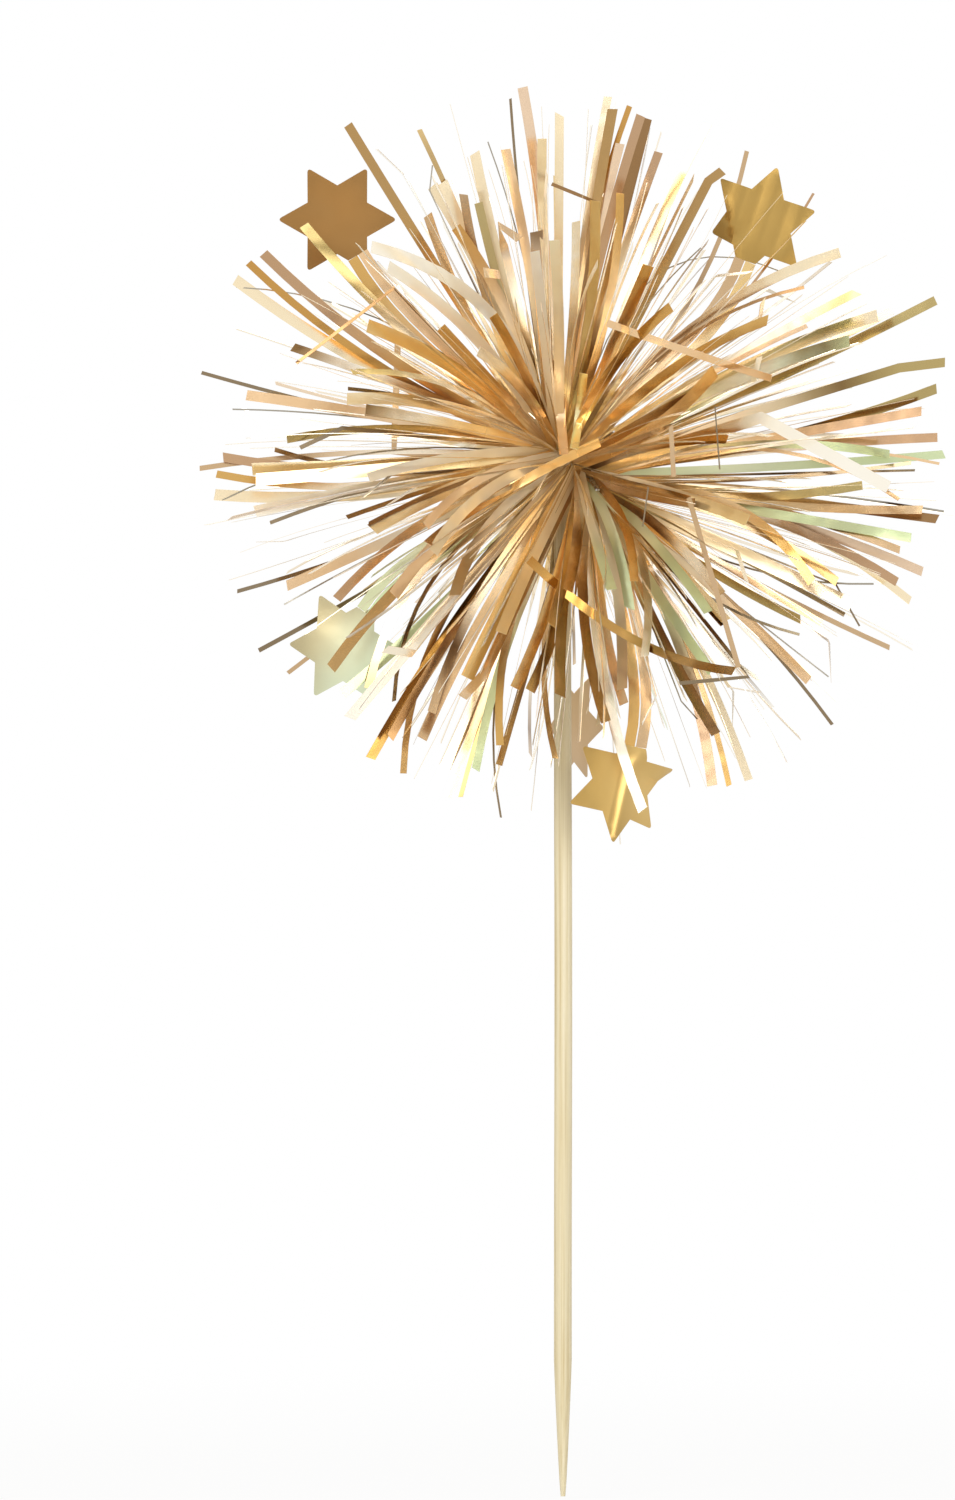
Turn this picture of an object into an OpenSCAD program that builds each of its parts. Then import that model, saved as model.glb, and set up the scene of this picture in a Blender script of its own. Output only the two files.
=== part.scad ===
// Tinsel cupcake topper: a burst of gold film strands and five foil stars, bound by a wound
// wire core round the glued head of a bamboo skewer. Millimetres, +Z up. The origin is on the
// skewer's axis at the height of the cake's top; the front of the burst faces -Y.

/* [Skewer] */
// Diameter of the parallel shank
skewer_d = 1.9; // [1.6:0.1:2.2]
// Diameter of the slightly thinner head inside the burst
head_d = 1.8; // [1.5:0.1:2.1]
// Length of the sharpened point
point_len = 14.5; // [8:0.5:25]
// Diameter of the point's blunt end
point_d = 0.5; // [0.3:0.1:0.9]
// Length of the parallel shank above the point
shank_len = 56; // [40:1:60]
// Depth that the skewer is pushed into the cake
cake_depth = 40; // [25:1:55]
// Height of the burst's centre above the end of the point
burst_h = 110; // [100:1:130]

/* [Hub] */
// Radius of the two domes from which the strands part
dome_r = 4.5; // [4.2:0.1:5.5]
// Radius of the waist under the wire
waist_r = 2; // [1.8:0.1:2.5]
// Width of the flat rim round the skewer's head
rim_w = 0.5; // [0.3:0.1:0.8]
// Thickness of the glue round the skewer's head
glue_t = 0.15; // [0.1:0.05:0.3]
// Diameter of the core wire
wire_d = 0.5; // [0.3:0.1:0.6]
// Turns of the core wire round the waist
wire_turns = 2; // [1:1:3]
// Gap between the wire's turns
wire_gap = 0.5; // [0.45:0.05:0.7]
// Clearance between the wire and the waist's shoulders
shoulder_clear = 0.1; // [0.05:0.05:0.2]
// Clearance between pieces that are seated on each other
seat_clear = 0.03; // [0.02:0.01:0.06]

/* [Strands] */
// Longest reach of a strand from the burst's centre
strand_reach = 42; // [34:1:46]
// How much shorter the shortest strands are
strand_trim = 12; // [4:1:16]
// Width of a strand
strand_w = 1.1; // [0.8:0.1:1.3]
// Thickness of the film
film_t = 0.1; // [0.08:0.01:0.16]
// Length over which a strand spreads from its root to its full width
spread_len = 10; // [8:0.5:14]
// Shortest strand that is left in front of a star
strand_least = 14; // [12:0.5:20]
// Rise of a level strand's middle above the straight line to its end
strand_rise = 1.4; // [0:0.1:2.5]
// Lean of the burst's outer ends towards +X
burst_lean = 1; // [0:0.1:2]

/* [Stars] */
// Diameter across opposite points of a star
star_d = 12.2; // [10:0.2:13]
// Diameter across opposite notches of a star
notch_d = 7.3; // [6:0.1:8.5]
// Radius on the ends of the points
tip_r = 0.3; // [0.1:0.05:0.4]
// Width of a stem where it meets its star
stem_w = 2.4; // [1.8:0.1:2.8]
// Width of a stem where it leaves the hub
stem_root_w = 0.5; // [0.3:0.1:0.6]
// Gap along the crease between a stem and its star
crease_gap = 0.15; // [0.1:0.05:0.3]
// Angle that a star flutters to each side of rest
flutter = 25; // [10:1:30]
// Clearance between a strand and what moves or stands near it
strand_clear = 0.3; // [0.2:0.1:0.6]

/* [Hidden] */
$fn = 48;
BUNDLES = 12;
STARS = 5;
POINTS = 6;

bamboo_colour = "#e3d5ae";
glue_colour = "#efe6cf";
wire_colour = "#c9c9cf";
film_colours = ["#c89a4e", "#d9b46a", "#b98745", "#e2c58c"];
star_colour = "#cda456";

point_z = -cake_depth;
shank_z = point_z + point_len;
taper_z = shank_z + shank_len;
burst_z = point_z + burst_h;

// Hub: a bore on the glue, a waist for the wire and a dome above and below it
sector = 360 / BUNDLES;
glue_r = head_d / 2 + seat_clear + glue_t;
bore_r = (glue_r + seat_clear) / cos(sector / 2);
wire_pitch = wire_d + wire_gap;
waist_h = (wire_turns * wire_pitch + wire_d) / 2 + shoulder_clear;
lip_h = 0.15;
cut_over = 1;
low_el = asin((waist_h + lip_h) / dome_r);
top_el = acos((bore_r + rim_w) / dome_r);
dome_h = dome_r * sin(top_el);
slice_gap = 2 * asin(seat_clear / 2 / waist_r);
wire_r = waist_r + seat_clear + wire_d / 2;

// Strands of one half of a bundle: cells in each row from the waist to the pole
row_cells = [3, 3, 3, 2, 2, 1, 1];
rows = len(row_cells);
row_seam = 0.5;
first_tip_el = 6;
last_tip_el = 80;
tip_step = (last_tip_el - first_tip_el) / (rows - 1);
tip_jitter = 0.3;
roll_limit = 38;
near_angle = 30;
probe_steps = 8;

// Stars, by the place of the centre from the burst's centre, in shares of the strands' reach, and
// the way each one faces: [place, angle of the neck in the star's plane, turn about Z, tip to the back]
star_rows = [
    [[-0.571, -0.095, 0.614], -60, 0, 0],
    [[0.498, 0.095, 0.617], 251, 0, 0],
    [[-0.555, 0.071, -0.464], 57, -12, 0],
    [[0.157, -0.238, -0.817], 77, 0, -10],
    [[0.031, 0.238, -0.669], 120, 62, 0]
];
star_r = star_d / 2;
notch_r = notch_d / 2;
point_step = 360 / POINTS;
notch_x = notch_r * cos(point_step / 2);
notch_y = notch_r * sin(point_step / 2);
point_half = atan(notch_y / (star_r - notch_x));
apex_r = star_r + tip_r / sin(point_half) - tip_r;
neck_x = apex_r - (stem_w / 2) * (apex_r - notch_x) / notch_y;
hinge_x = neck_x + crease_gap / 2;
far_x = hinge_x + star_r;
sweep_r = norm([far_x * cos(flutter) - hinge_x, far_x * sin(flutter)]);
stem_rings = 5;
stem_look = 0.01;

function star_place(k) = strand_reach * star_rows[k][0];
function bundle_name(i) = str("tinsel_bundle_", i < 10 ? "0" : "", i);

// Repeatable spread of values from 0 to 1
function spread(seed, channel) =
    let (v = sin(seed * 127.1 + channel * 311.7) * 4375.85)
    v - floor(v);

function polar(r, az, el) = r * [cos(el) * cos(az), cos(el) * sin(az), sin(el)];
function unit(v) = v / norm(v);
function mix(a, b, t) = a + (b - a) * t;
function mean(points) = [for (p = points) 1] * points / len(points);
function flip_z(p) = [p.x, p.y, -p.z];
function turn_z(p, a) = [p.x * cos(a) - p.y * sin(a), p.x * sin(a) + p.y * cos(a), p.z];
function tip_x(p, a) = [p.x, p.y * cos(a) - p.z * sin(a), p.y * sin(a) + p.z * cos(a)];

// Triangles, wound clockwise as seen from outside
function sides(a, b, turned = false) = [
    for (i = [0 : len(a) - 1])
    let (j = (i + 1) % len(a))
    each turned ? [[a[i], b[i], a[j]], [b[i], b[j], a[j]]] : [[a[i], b[i], b[j]], [a[i], b[j], a[j]]]
];
function end_cap(r) = [for (i = [1 : len(r) - 2]) [r[0], r[i + 1], r[i]]];
function start_cap(r) = [for (i = [1 : len(r) - 2]) [r[0], r[i], r[i + 1]]];
function tube(rings) = concat(
    start_cap(rings[0]),
    [for (i = [0 : len(rings) - 2]) each sides(rings[i], rings[i + 1])],
    end_cap(rings[len(rings) - 1])
);
function quad(left_low, right_low, right_high, left_high) =
    [[left_low, left_high, right_high], [left_low, right_high, right_low]];

// Strip of triangles between a lower and an upper row of points, left to right
function stitch(low, high) =
    let (
        m = len(low) - 1,
        n = len(high) - 1,
        apex = [for (i = [0 : m - 1]) round((i + 0.5) / m * n)]
    )
    concat(
        [for (i = [0 : m - 1]) [low[i], high[apex[i]], low[i + 1]]],
        [for (j = [0 : n - 1])
            let (k = len([for (a = apex) if (a <= j) a]))
            [high[j], high[j + 1], low[k]]]
    );
function mirrored(triangles) = [for (t = triangles) [flip_z(t[0]), flip_z(t[2]), flip_z(t[1])]];

module skin(triangles) {
    polyhedron(
        points = [for (t = triangles) each t],
        faces = [for (i = [0 : len(triangles) - 1]) [3 * i, 3 * i + 1, 3 * i + 2]]
    );
}

// Rectangle across a direction: width along side, thickness square to it
function ring(centre, along, side, w, t) =
    let (
        d = unit(along),
        s = unit(side - (side * d) * d),
        u = cross(d, s)
    )
    [for (c = [[-1, -1], [1, -1], [1, 1], [-1, 1]]) centre + s * c.x * w / 2 + u * c.y * t / 2];

// Cells of the dome, one to a strand
function seam(row) = row > 0 && row < rows && row_cells[row] != row_cells[row - 1] ? row_seam : 0;
function row_el(row) = mix(low_el, top_el, row / rows);
function row_low(row) = row_el(row) + seam(row);
function row_high(row) = row_el(row + 1) - seam(row + 1);
function slice_az(bundle, share) =
    mix(bundle * sector + slice_gap / 2, (bundle + 1) * sector - slice_gap / 2, share);
function dome_line(bundle, row, el) =
    [for (c = [0 : row_cells[row]]) polar(dome_r, slice_az(bundle, c / row_cells[row]), el)];
function cell(bundle, row, col) =
    let (
        low = dome_line(bundle, row, row_low(row)),
        high = dome_line(bundle, row, row_high(row))
    )
    [low[col], low[col + 1], high[col + 1], high[col]];

// Strand: from its cell, drawn in to a flat strip at the bend, on to its end
function seed_of(bundle, half, row, col) = bundle * 97 + half * 53 + row * 11 + col + 1;
function tip_line(bundle, half, row, col) =
    let (
        s = seed_of(bundle, half, row, col),
        cell_az = sector / row_cells[row],
        az = bundle * sector + cell_az * (col + 0.5 + tip_jitter * (2 * spread(s, 1) - 1)),
        el = first_tip_el + tip_step * (row + tip_jitter * (2 * spread(s, 2) - 1)),
        reach = strand_reach - strand_trim * spread(s, 3)
    )
    polar(reach, az, el);

// Share of a strand's length that stays clear of every star's sweep
function clear_share(from, to, half) = min([
    1,
    for (k = [0 : STARS - 1])
    let (
        place = half == 0 ? star_place(k) : flip_z(star_place(k)),
        d = unit(to - from),
        keep_out = sweep_r + strand_w / 2 + strand_clear + strand_rise,
        ahead = (place - from) * d,
        aside = norm(place - from - ahead * d)
    )
    if (ahead > 0 && aside < keep_out) (ahead - sqrt(pow(keep_out, 2) - pow(aside, 2))) / norm(to - from)
]);
function strand_line(bundle, half, row, col) =
    let (
        root = mean(cell(bundle, row, col)),
        free_tip = tip_line(bundle, half, row, col) + [burst_lean, 0, 0],
        tip = mix(root, free_tip, clear_share(root, free_tip, half)),
        rise = strand_rise * norm([tip.x, tip.y]) / strand_reach * (half == 0 ? 1 : -1)
    )
    [root, root + unit(tip - root) * spread_len + [0, 0, rise], tip];
function strand_roll(seed) = roll_limit * (2 * spread(seed, 5) - 1);
function strand_rings(bundle, half, row, col) =
    let (
        line = strand_line(bundle, half, row, col),
        s = seed_of(bundle, half, row, col),
        upright = spread(s, 4) > 0.5,
        roll = strand_roll(s),
        d = unit(line[2] - line[0]),
        level = unit(cross([0, 0, 1], d)),
        side = level * cos(roll) + cross(d, level) * sin(roll),
        w = upright ? film_t : strand_w,
        t = upright ? strand_w : film_t
    )
    [
        ring(line[1], line[1] - line[0], side, w, t),
        ring(line[2], line[2] - line[1], side, w, t)
    ];

// Stems: each takes the place of the strand whose cell looks towards its star's neck
function star_at(k, p) =
    let (
        r = star_rows[k],
        q = turn_z([p.x, p.y, 0], r[1]),
        stood = tip_x([q.x, -p.z, q.y], r[3])
    )
    star_place(k) + turn_z(stood, r[2]);
function neck(k) = star_at(k, [neck_x + crease_gap, 0, 0]);
function stem_half(k) = neck(k).z < 0 ? 1 : 0;
function stem_az(k) = (atan2(neck(k).y, neck(k).x - burst_lean) + 360) % 360;
function stem_el(k) = atan2(abs(neck(k).z), norm([neck(k).x - burst_lean, neck(k).y]));
function stem_bundle(k) = floor(stem_az(k) / sector);
function stem_row(k) = max(0, min(rows - 1, round((stem_el(k) - first_tip_el) / tip_step)));
function stem_col(k) = floor((stem_az(k) % sector) / sector * row_cells[stem_row(k)]);
function stem_cell(k) =
    let (c = cell(stem_bundle(k), stem_row(k), stem_col(k)))
    stem_half(k) == 0 ? c : [for (p = c) flip_z(p)];
function stem_root(k) =
    let (
        c = stem_cell(k),
        out = unit(cross(c[2] - c[0], c[3] - c[1]))
    )
    mean(c) + (stem_half(k) == 0 ? 1 : -1) * out * (seat_clear + film_t);
function stem_point(k, t) =
    let (
        a = stem_root(k),
        d = neck(k),
        pull = norm(d - a) / 3,
        b = a + unit(a) * pull,
        c = d + unit(star_at(k, [1, 0, 0]) - star_at(k, [0, 0, 0])) * pull
    )
    mix(mix(mix(a, b, t), mix(b, c, t), t), mix(mix(b, c, t), mix(c, d, t), t), t);
function stem_width(t) = mix(stem_root_w, stem_w, t);
function stem_line(k) = [for (i = [0 : probe_steps]) stem_point(k, i / probe_steps)];
function in_stem_cell(bundle, half, row, col) = len([
    for (k = [0 : STARS - 1])
    if (bundle == stem_bundle(k) && half == stem_half(k) && row == stem_row(k) && col == stem_col(k)) k
]) > 0;
function strand_meets_stem(line, half, k) =
    let (
        stem = [for (p = stem_line(k)) half == 0 ? p : flip_z(p)],
        angle = acos(max(-1, min(1, unit(line[2]) * unit(stem[probe_steps]))))
    )
    angle < near_angle && len([
        for (i = [1 : probe_steps])
        let (
            p = mix(line[0], line[2], i / probe_steps),
            strand_half = strand_w / 2 * min(1, norm(p - line[0]) / spread_len)
        )
        for (j = [0 : probe_steps])
        if (norm(p - stem[j]) < strand_half + stem_width(j / probe_steps) / 2 + strand_clear) 1
    ]) > 0;
function has_strand(bundle, half, row, col) =
    let (line = strand_line(bundle, half, row, col))
    !in_stem_cell(bundle, half, row, col)
    && norm(line[2] - line[0]) >= strand_least
    && len([for (k = [0 : STARS - 1]) if (strand_meets_stem(line, half, k)) k]) == 0;

function cell_skin(bundle, half, row, col) =
    let (c = cell(bundle, row, col))
    !has_strand(bundle, half, row, col) ? end_cap(c)
    : let (r = strand_rings(bundle, half, row, col))
    concat(
        sides(c, r[0], strand_roll(seed_of(bundle, half, row, col)) > 0),
        sides(r[0], r[1]),
        end_cap(r[1])
    );

// Upper half of a bundle from the waist's shoulder to the rim, strands and all
function half_skin(bundle, half) =
    let (
        last = rows - 1,
        az = [slice_az(bundle, 0), slice_az(bundle, 1)],
        bore_low = [for (a = az) polar(bore_r, a, 0) + [0, 0, waist_h]],
        bore_high = [for (a = az) polar(bore_r, a, 0) + [0, 0, dome_h]],
        shoulder = [for (a = az) polar(waist_r, a, 0) + [0, 0, waist_h]],
        edge_el = concat(
            [row_low(0)],
            [for (r = [0 : last]) each seam(r + 1) > 0 ? [row_high(r), row_low(r + 1)] : [row_high(r)]]
        ),
        outline = [for (i = [0, 1]) concat(
            [bore_low[i], shoulder[i]],
            [for (e = edge_el) polar(dome_r, az[i], e)],
            [bore_high[i]]
        )]
    )
    concat(
        stitch(shoulder, dome_line(bundle, 0, row_low(0))),
        [for (r = [0 : last]) for (c = [0 : row_cells[r] - 1]) each cell_skin(bundle, half, r, c)],
        [for (r = [0 : last - 1]) if (seam(r + 1) > 0) each stitch(
            dome_line(bundle, r, row_high(r)),
            dome_line(bundle, r + 1, row_low(r + 1))
        )],
        stitch(dome_line(bundle, last, row_high(last)), bore_high),
        quad(bore_low[1], bore_low[0], bore_high[0], bore_high[1]),
        end_cap(outline[0]),
        start_cap(outline[1])
    );
function waist_skin(bundle) =
    let (
        az = [slice_az(bundle, 0), slice_az(bundle, 1)],
        bore = [for (a = az) polar(bore_r, a, 0)],
        face = [for (a = az) polar(waist_r, a, 0)],
        up = [0, 0, waist_h]
    )
    concat(
        quad(face[0] - up, face[1] - up, face[1] + up, face[0] + up),
        quad(bore[1] - up, bore[0] - up, bore[0] + up, bore[1] + up),
        quad(bore[0] - up, face[0] - up, face[0] + up, bore[0] + up),
        quad(face[1] - up, bore[1] - up, bore[1] + up, face[1] + up)
    );

// Core wire: a helix round the waist with a straight end one diameter long at each end
turn_rings = 24;
wire_sides = 6;
function helix(a) = polar(wire_r, a, 0) + [0, 0, wire_pitch * (a / 360 - wire_turns / 2)];
function helix_way(a) = unit(helix(a + 1) - helix(a - 1));
wire_end_az = 360 * wire_turns;
wire_line = concat(
    [helix(0) - helix_way(0) * wire_d],
    [for (i = [0 : turn_rings * wire_turns]) helix(i * 360 / turn_rings)],
    [helix(wire_end_az) + helix_way(wire_end_az) * wire_d]
);
function wire_way(i) =
    unit(wire_line[min(i + 1, len(wire_line) - 1)] - wire_line[max(i - 1, 0)]);
function wire_ring(i) =
    let (
        d = wire_way(i),
        out = unit([wire_line[i].x, wire_line[i].y, 0]),
        s = unit(out - (out * d) * d),
        u = cross(d, s)
    )
    [for (k = [0 : wire_sides - 1])
        wire_line[i] + (s * cos(k * 360 / wire_sides) + u * sin(k * 360 / wire_sides)) * wire_d / 2];
wire_self_gap = wire_turns < 2 ? wire_gap : min([
    for (i = [0 : len(wire_line) - 1])
    for (j = [i + turn_rings / 2 : 1 : len(wire_line) - 1])
    norm(wire_line[i] - wire_line[j])
]) - wire_d;
echo(str("core_wire least gap to itself: ", wire_self_gap, " mm"));

// Star outline in its own plane, neck along +X
tip_steps = 4;
function tip_arc(a) =
    let (swing = 90 - point_half)
    [for (i = [0 : tip_steps])
        let (b = a - swing + 2 * swing * i / tip_steps)
        [(star_r - tip_r) * cos(a) + tip_r * cos(b), (star_r - tip_r) * sin(a) + tip_r * sin(b)]];
star_outline = concat(
    [[neck_x, -stem_w / 2], [neck_x, stem_w / 2]],
    [for (i = [1 : POINTS])
        let (a = point_step * (i - 0.5))
        each concat([notch_r * [cos(a), sin(a)]], i < POINTS ? tip_arc(point_step * i) : [])]
);

module skewer() {
    color(bamboo_colour) {
        translate([0, 0, point_z]) cylinder(h = point_len, d1 = point_d, d2 = skewer_d);
        translate([0, 0, shank_z]) cylinder(h = shank_len, d = skewer_d);
        translate([0, 0, taper_z]) cylinder(h = burst_z - dome_h - taper_z, d1 = skewer_d, d2 = head_d);
        translate([0, 0, burst_z - dome_h]) cylinder(h = 2 * dome_h, d = head_d);
    }
}

module glue_sleeve() {
    color(glue_colour) translate([0, 0, burst_z - dome_h]) difference() {
        cylinder(h = 2 * dome_h, r = glue_r);
        translate([0, 0, -cut_over]) cylinder(h = 2 * (dome_h + cut_over), r = head_d / 2 + seat_clear);
    }
}

module core_wire() {
    color(wire_colour) translate([0, 0, burst_z])
        skin(tube([for (i = [0 : len(wire_line) - 1]) wire_ring(i)]));
}

module tinsel_bundle(i) {
    color(film_colours[i % len(film_colours)]) translate([0, 0, burst_z]) skin(concat(
        half_skin(i, 0),
        waist_skin(i),
        mirrored(half_skin(i, 1))
    ));
}

module star_stem(k) {
    across = star_at(k, [0, 1, 0]) - star_at(k, [0, 0, 0]);
    color(star_colour) translate([0, 0, burst_z]) skin(tube([
        for (i = [0 : stem_rings - 1])
        let (
            t = i / (stem_rings - 1),
            ahead = stem_point(k, min(1, t + stem_look)) - stem_point(k, max(0, t - stem_look))
        )
        ring(stem_point(k, t), ahead, across, stem_width(t), film_t)
    ]));
}

module star(k) {
    r = star_rows[k];
    color(star_colour) translate([0, 0, burst_z] + star_place(k)) rotate([0, 0, r[2]])
        rotate([90 + r[3], 0, 0]) rotate([0, 0, r[1]])
        linear_extrude(film_t, center = true) polygon(star_outline);
}

skewer();
glue_sleeve();
core_wire();
for (i = [1 : BUNDLES]) tinsel_bundle(i - 1);
for (i = [1 : STARS]) star_stem(i - 1);
for (i = [1 : STARS]) star(i - 1);
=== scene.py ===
"""Tinsel cupcake topper, dressed: film strips, foil stars, a wire core and a bamboo skewer.

Sizes are millimetres in the part's own frame, and places in the burst are counted from its centre.
Meshes are written in metres.
"""
import logging
import math
from collections.abc import Callable
from dataclasses import dataclass
from enum import Enum
from typing import Any

import bpy
import numpy as np
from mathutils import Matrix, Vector


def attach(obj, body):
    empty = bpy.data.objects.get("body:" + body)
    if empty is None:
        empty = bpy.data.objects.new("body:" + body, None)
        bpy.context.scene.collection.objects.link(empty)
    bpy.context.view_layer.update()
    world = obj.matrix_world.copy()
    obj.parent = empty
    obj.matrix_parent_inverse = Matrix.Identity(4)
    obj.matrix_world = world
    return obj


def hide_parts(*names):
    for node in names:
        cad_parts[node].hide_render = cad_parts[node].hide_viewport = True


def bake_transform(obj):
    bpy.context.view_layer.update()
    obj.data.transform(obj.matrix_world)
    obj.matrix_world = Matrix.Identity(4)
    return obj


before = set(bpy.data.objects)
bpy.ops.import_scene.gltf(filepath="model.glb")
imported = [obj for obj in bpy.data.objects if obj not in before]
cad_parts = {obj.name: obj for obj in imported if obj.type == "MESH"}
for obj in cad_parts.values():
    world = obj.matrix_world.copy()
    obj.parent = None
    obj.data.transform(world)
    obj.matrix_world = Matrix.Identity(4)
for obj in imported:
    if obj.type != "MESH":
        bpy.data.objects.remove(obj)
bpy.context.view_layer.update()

MM = 0.001
SEED_RATE, CHANNEL_RATE, SPREAD_GAIN = 127.1, 311.7, 4375.85
TINT_LAYER = "tint"
TOPPER_BODY = "topper"
PURE_WHITE = "ffffff"
SMOOTH_BELOW = math.radians(40)
BURST_CENTRE = np.array((0.0, 0.0, 70.0))
FRONT = np.array((0.0, -1.0, 0.0))
UP = np.array((0.0, 0.0, 1.0))

Array = np.ndarray
Vec = tuple[float, float, float]
Cell = tuple[int, int, int, int]
# A grain's repeats per metre along X, Y and Z, and its detail.
Grain = tuple[Vec, float]
Material, Mesh, Obj = bpy.types.Material, bpy.types.Mesh, bpy.types.Object

log = logging.getLogger("topper")


class Tint(Enum):
    """Tones that the metallised film shows, and those that paint its highlights, dark reflections and the
    core's light, as sRGB hex.
    """

    GOLD = "d6aa60"
    DEEP = "c8964a"
    BRONZE = "b08b56"
    LIGHT = "eacd94"
    CREAM = "f8e9cb"
    WHITE = "fffcf4"
    PEACH = "eecba2"
    BLUSH = "e6ccb4"
    TAN = "cbac88"
    ROSE = "c09b7a"
    BROWN = "946d44"
    OLIVE = "b5a26c"
    GREEN = "cfe0b4"
    UMBER = "85735e"
    PEWTER = "a39e96"
    STRAW = "dcbc7c"
    SAGE = "d6dcb4"
    CHAMPAGNE = "f0dab0"
    COCOA = "6a4826"
    ANTIQUE = "997446"
    BRASS = "ad8f53"
    OCHRE = "ac8f56"
    REED = "b9ae8b"
    MINT = "e6f2d6"
    FAWN = "c6aa85"
    LEMON = "f9f6d2"

    @property
    def linear(self) -> Array:
        """The tone as linear red, green and blue."""
        return linear_rgb(self.value)


(GOLD, DEEP, BRONZE, LIGHT, CREAM, WHITE, PEACH, BLUSH, TAN, ROSE, BROWN, OLIVE, GREEN,
 UMBER, PEWTER, STRAW, SAGE, CHAMPAGNE, COCOA, ANTIQUE, BRASS, OCHRE, REED, MINT, FAWN, LEMON) = Tint


def linear_rgb(code: str) -> Array:
    """Turn a hex colour into linear light by the sRGB curve.

    Args:
        code: Six hex digits, sRGB.

    Returns:
        Red, green and blue from 0 to 1.
    """
    value = np.array([int(code[i:i + 2], 16) / 255 for i in (0, 2, 4)])
    return np.where(value <= 0.04045, value / 12.92, ((value + 0.055) / 1.055) ** 2.4)


def rgba(code: str) -> tuple[float, float, float, float]:
    """Give a hex colour as the four numbers that a colour socket takes."""
    red, green, blue = linear_rgb(code)
    return float(red), float(green), float(blue), 1.0


def unit(vector: Array) -> Array:
    """Scale vectors along the last axis to length one."""
    return vector / np.linalg.norm(vector, axis=-1, keepdims=True)


def polar(radius: float, azimuth: float, elevation: float) -> Array:
    """Place a point by its distance from the centre and two angles in degrees."""
    az, el = math.radians(azimuth), math.radians(elevation)
    return radius * np.array((math.cos(el) * math.cos(az), math.cos(el) * math.sin(az), math.sin(el)))


def smooth(value: Array) -> Array:
    """Ease values from 0 to 1 at both ends."""
    held = np.clip(value, 0.0, 1.0)
    return held * held * (3.0 - 2.0 * held)


def blend(first: Any, last: Any, share: Any) -> Any:
    """Give the value a share of the way from the first to the last."""
    return first + (last - first) * share


def cubic(start: Array, first: Array, second: Array, end: Array, count: int) -> Array:
    """Trace a curve from its two ends and the two points that pull it.

    Args:
        start: Where the curve starts.
        first: The point that pulls it as it leaves.
        second: The point that pulls it as it arrives.
        end: Where it ends.
        count: How many points are wanted.

    Returns:
        The points, one to a row.
    """
    t = np.linspace(0.0, 1.0, count)[:, None]
    return ((1 - t) ** 3 * start + 3 * t * (1 - t) ** 2 * first
            + 3 * t ** 2 * (1 - t) * second + t ** 3 * end)


def distances(line: Array) -> Array:
    """Measure how far along a line each of its points is."""
    return np.concatenate(([0.0], np.cumsum(np.linalg.norm(np.diff(line, axis=0), axis=1))))


def spread(seed: int, channel: int) -> float:
    """Give the repeatable value from 0 to 1 that the solids use for a strand."""
    value = math.sin(math.radians(seed * SEED_RATE + channel * CHANNEL_RATE)) * SPREAD_GAIN
    return value - math.floor(value)


def deselect() -> None:
    """Leave object mode with nothing selected."""
    if bpy.context.object and bpy.context.object.mode != "OBJECT":
        bpy.ops.object.mode_set(mode="OBJECT")
    bpy.ops.object.select_all(action="DESELECT")


def copied(master: Obj) -> Obj:
    """Copy an object with its own mesh.

    Args:
        master: The object to copy.

    Returns:
        The copy, linked to the scene.
    """
    copy = master.copy()
    copy.data = master.data.copy()
    bpy.context.collection.objects.link(copy)
    return copy


def coordinates(mesh: Mesh) -> Array:
    """Read a mesh's points.

    Args:
        mesh: The mesh to read.

    Returns:
        One row of three numbers for each point.
    """
    flat = np.empty(len(mesh.vertices) * 3, dtype=np.float64)
    mesh.vertices.foreach_get("co", flat)
    return flat.reshape(-1, 3)


def write_coordinates(mesh: Mesh, points: Array) -> None:
    """Write a mesh's points back, row for row."""
    mesh.vertices.foreach_set("co", np.ascontiguousarray(points, dtype=np.float32).ravel())
    mesh.update()


def write_tints(mesh: Mesh, colours: Array, metal: Array | float = 1.0) -> None:
    """Store a colour and how mirror-like the film is for each point.

    Args:
        mesh: The mesh that takes the tint layer.
        colours: Linear red, green and blue, one row for each point.
        metal: From 0, scattering, to 1, a mirror.
    """
    layer = mesh.color_attributes.new(name=TINT_LAYER, type="FLOAT_COLOR", domain="POINT")
    full = np.ones((len(mesh.vertices), 4), dtype=np.float32)
    full[:, :3] = colours
    full[:, 3] = metal
    layer.data.foreach_set("color", full.ravel())


def pick(obj: Obj, kind: str, wanted: Callable[..., bool]) -> None:
    """Select points or edges of the object in edit mode by a test on their place.

    Args:
        obj: The object in edit mode.
        kind: VERT for points or EDGE for edges.
        wanted: Called with the point, or with the edge's two ends; true selects it.
    """
    bpy.ops.mesh.select_mode(type=kind)
    bpy.ops.mesh.select_all(action="DESELECT")
    bpy.ops.object.mode_set(mode="OBJECT")
    points = obj.data.vertices
    for item in points if kind == "VERT" else obj.data.edges:
        ends = [item.co] if kind == "VERT" else [points[i].co for i in item.vertices]
        item.select = bool(wanted(*ends))
    bpy.ops.object.mode_set(mode="EDIT")


def join(parts: list[Obj], name: str) -> Obj:
    """Join copies into one piece.

    Args:
        parts: The copies, each with its own mesh.
        name: The finished piece's name.

    Returns:
        The joined object, shaded smooth along each strip.
    """
    deselect()
    for part in parts:
        part.select_set(True)
    bpy.context.view_layer.objects.active = parts[0]
    bpy.ops.object.join()
    piece = bpy.context.object
    piece.name = name
    piece.data.name = name
    bpy.ops.object.shade_smooth_by_angle(angle=SMOOTH_BELOW)
    return piece


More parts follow.
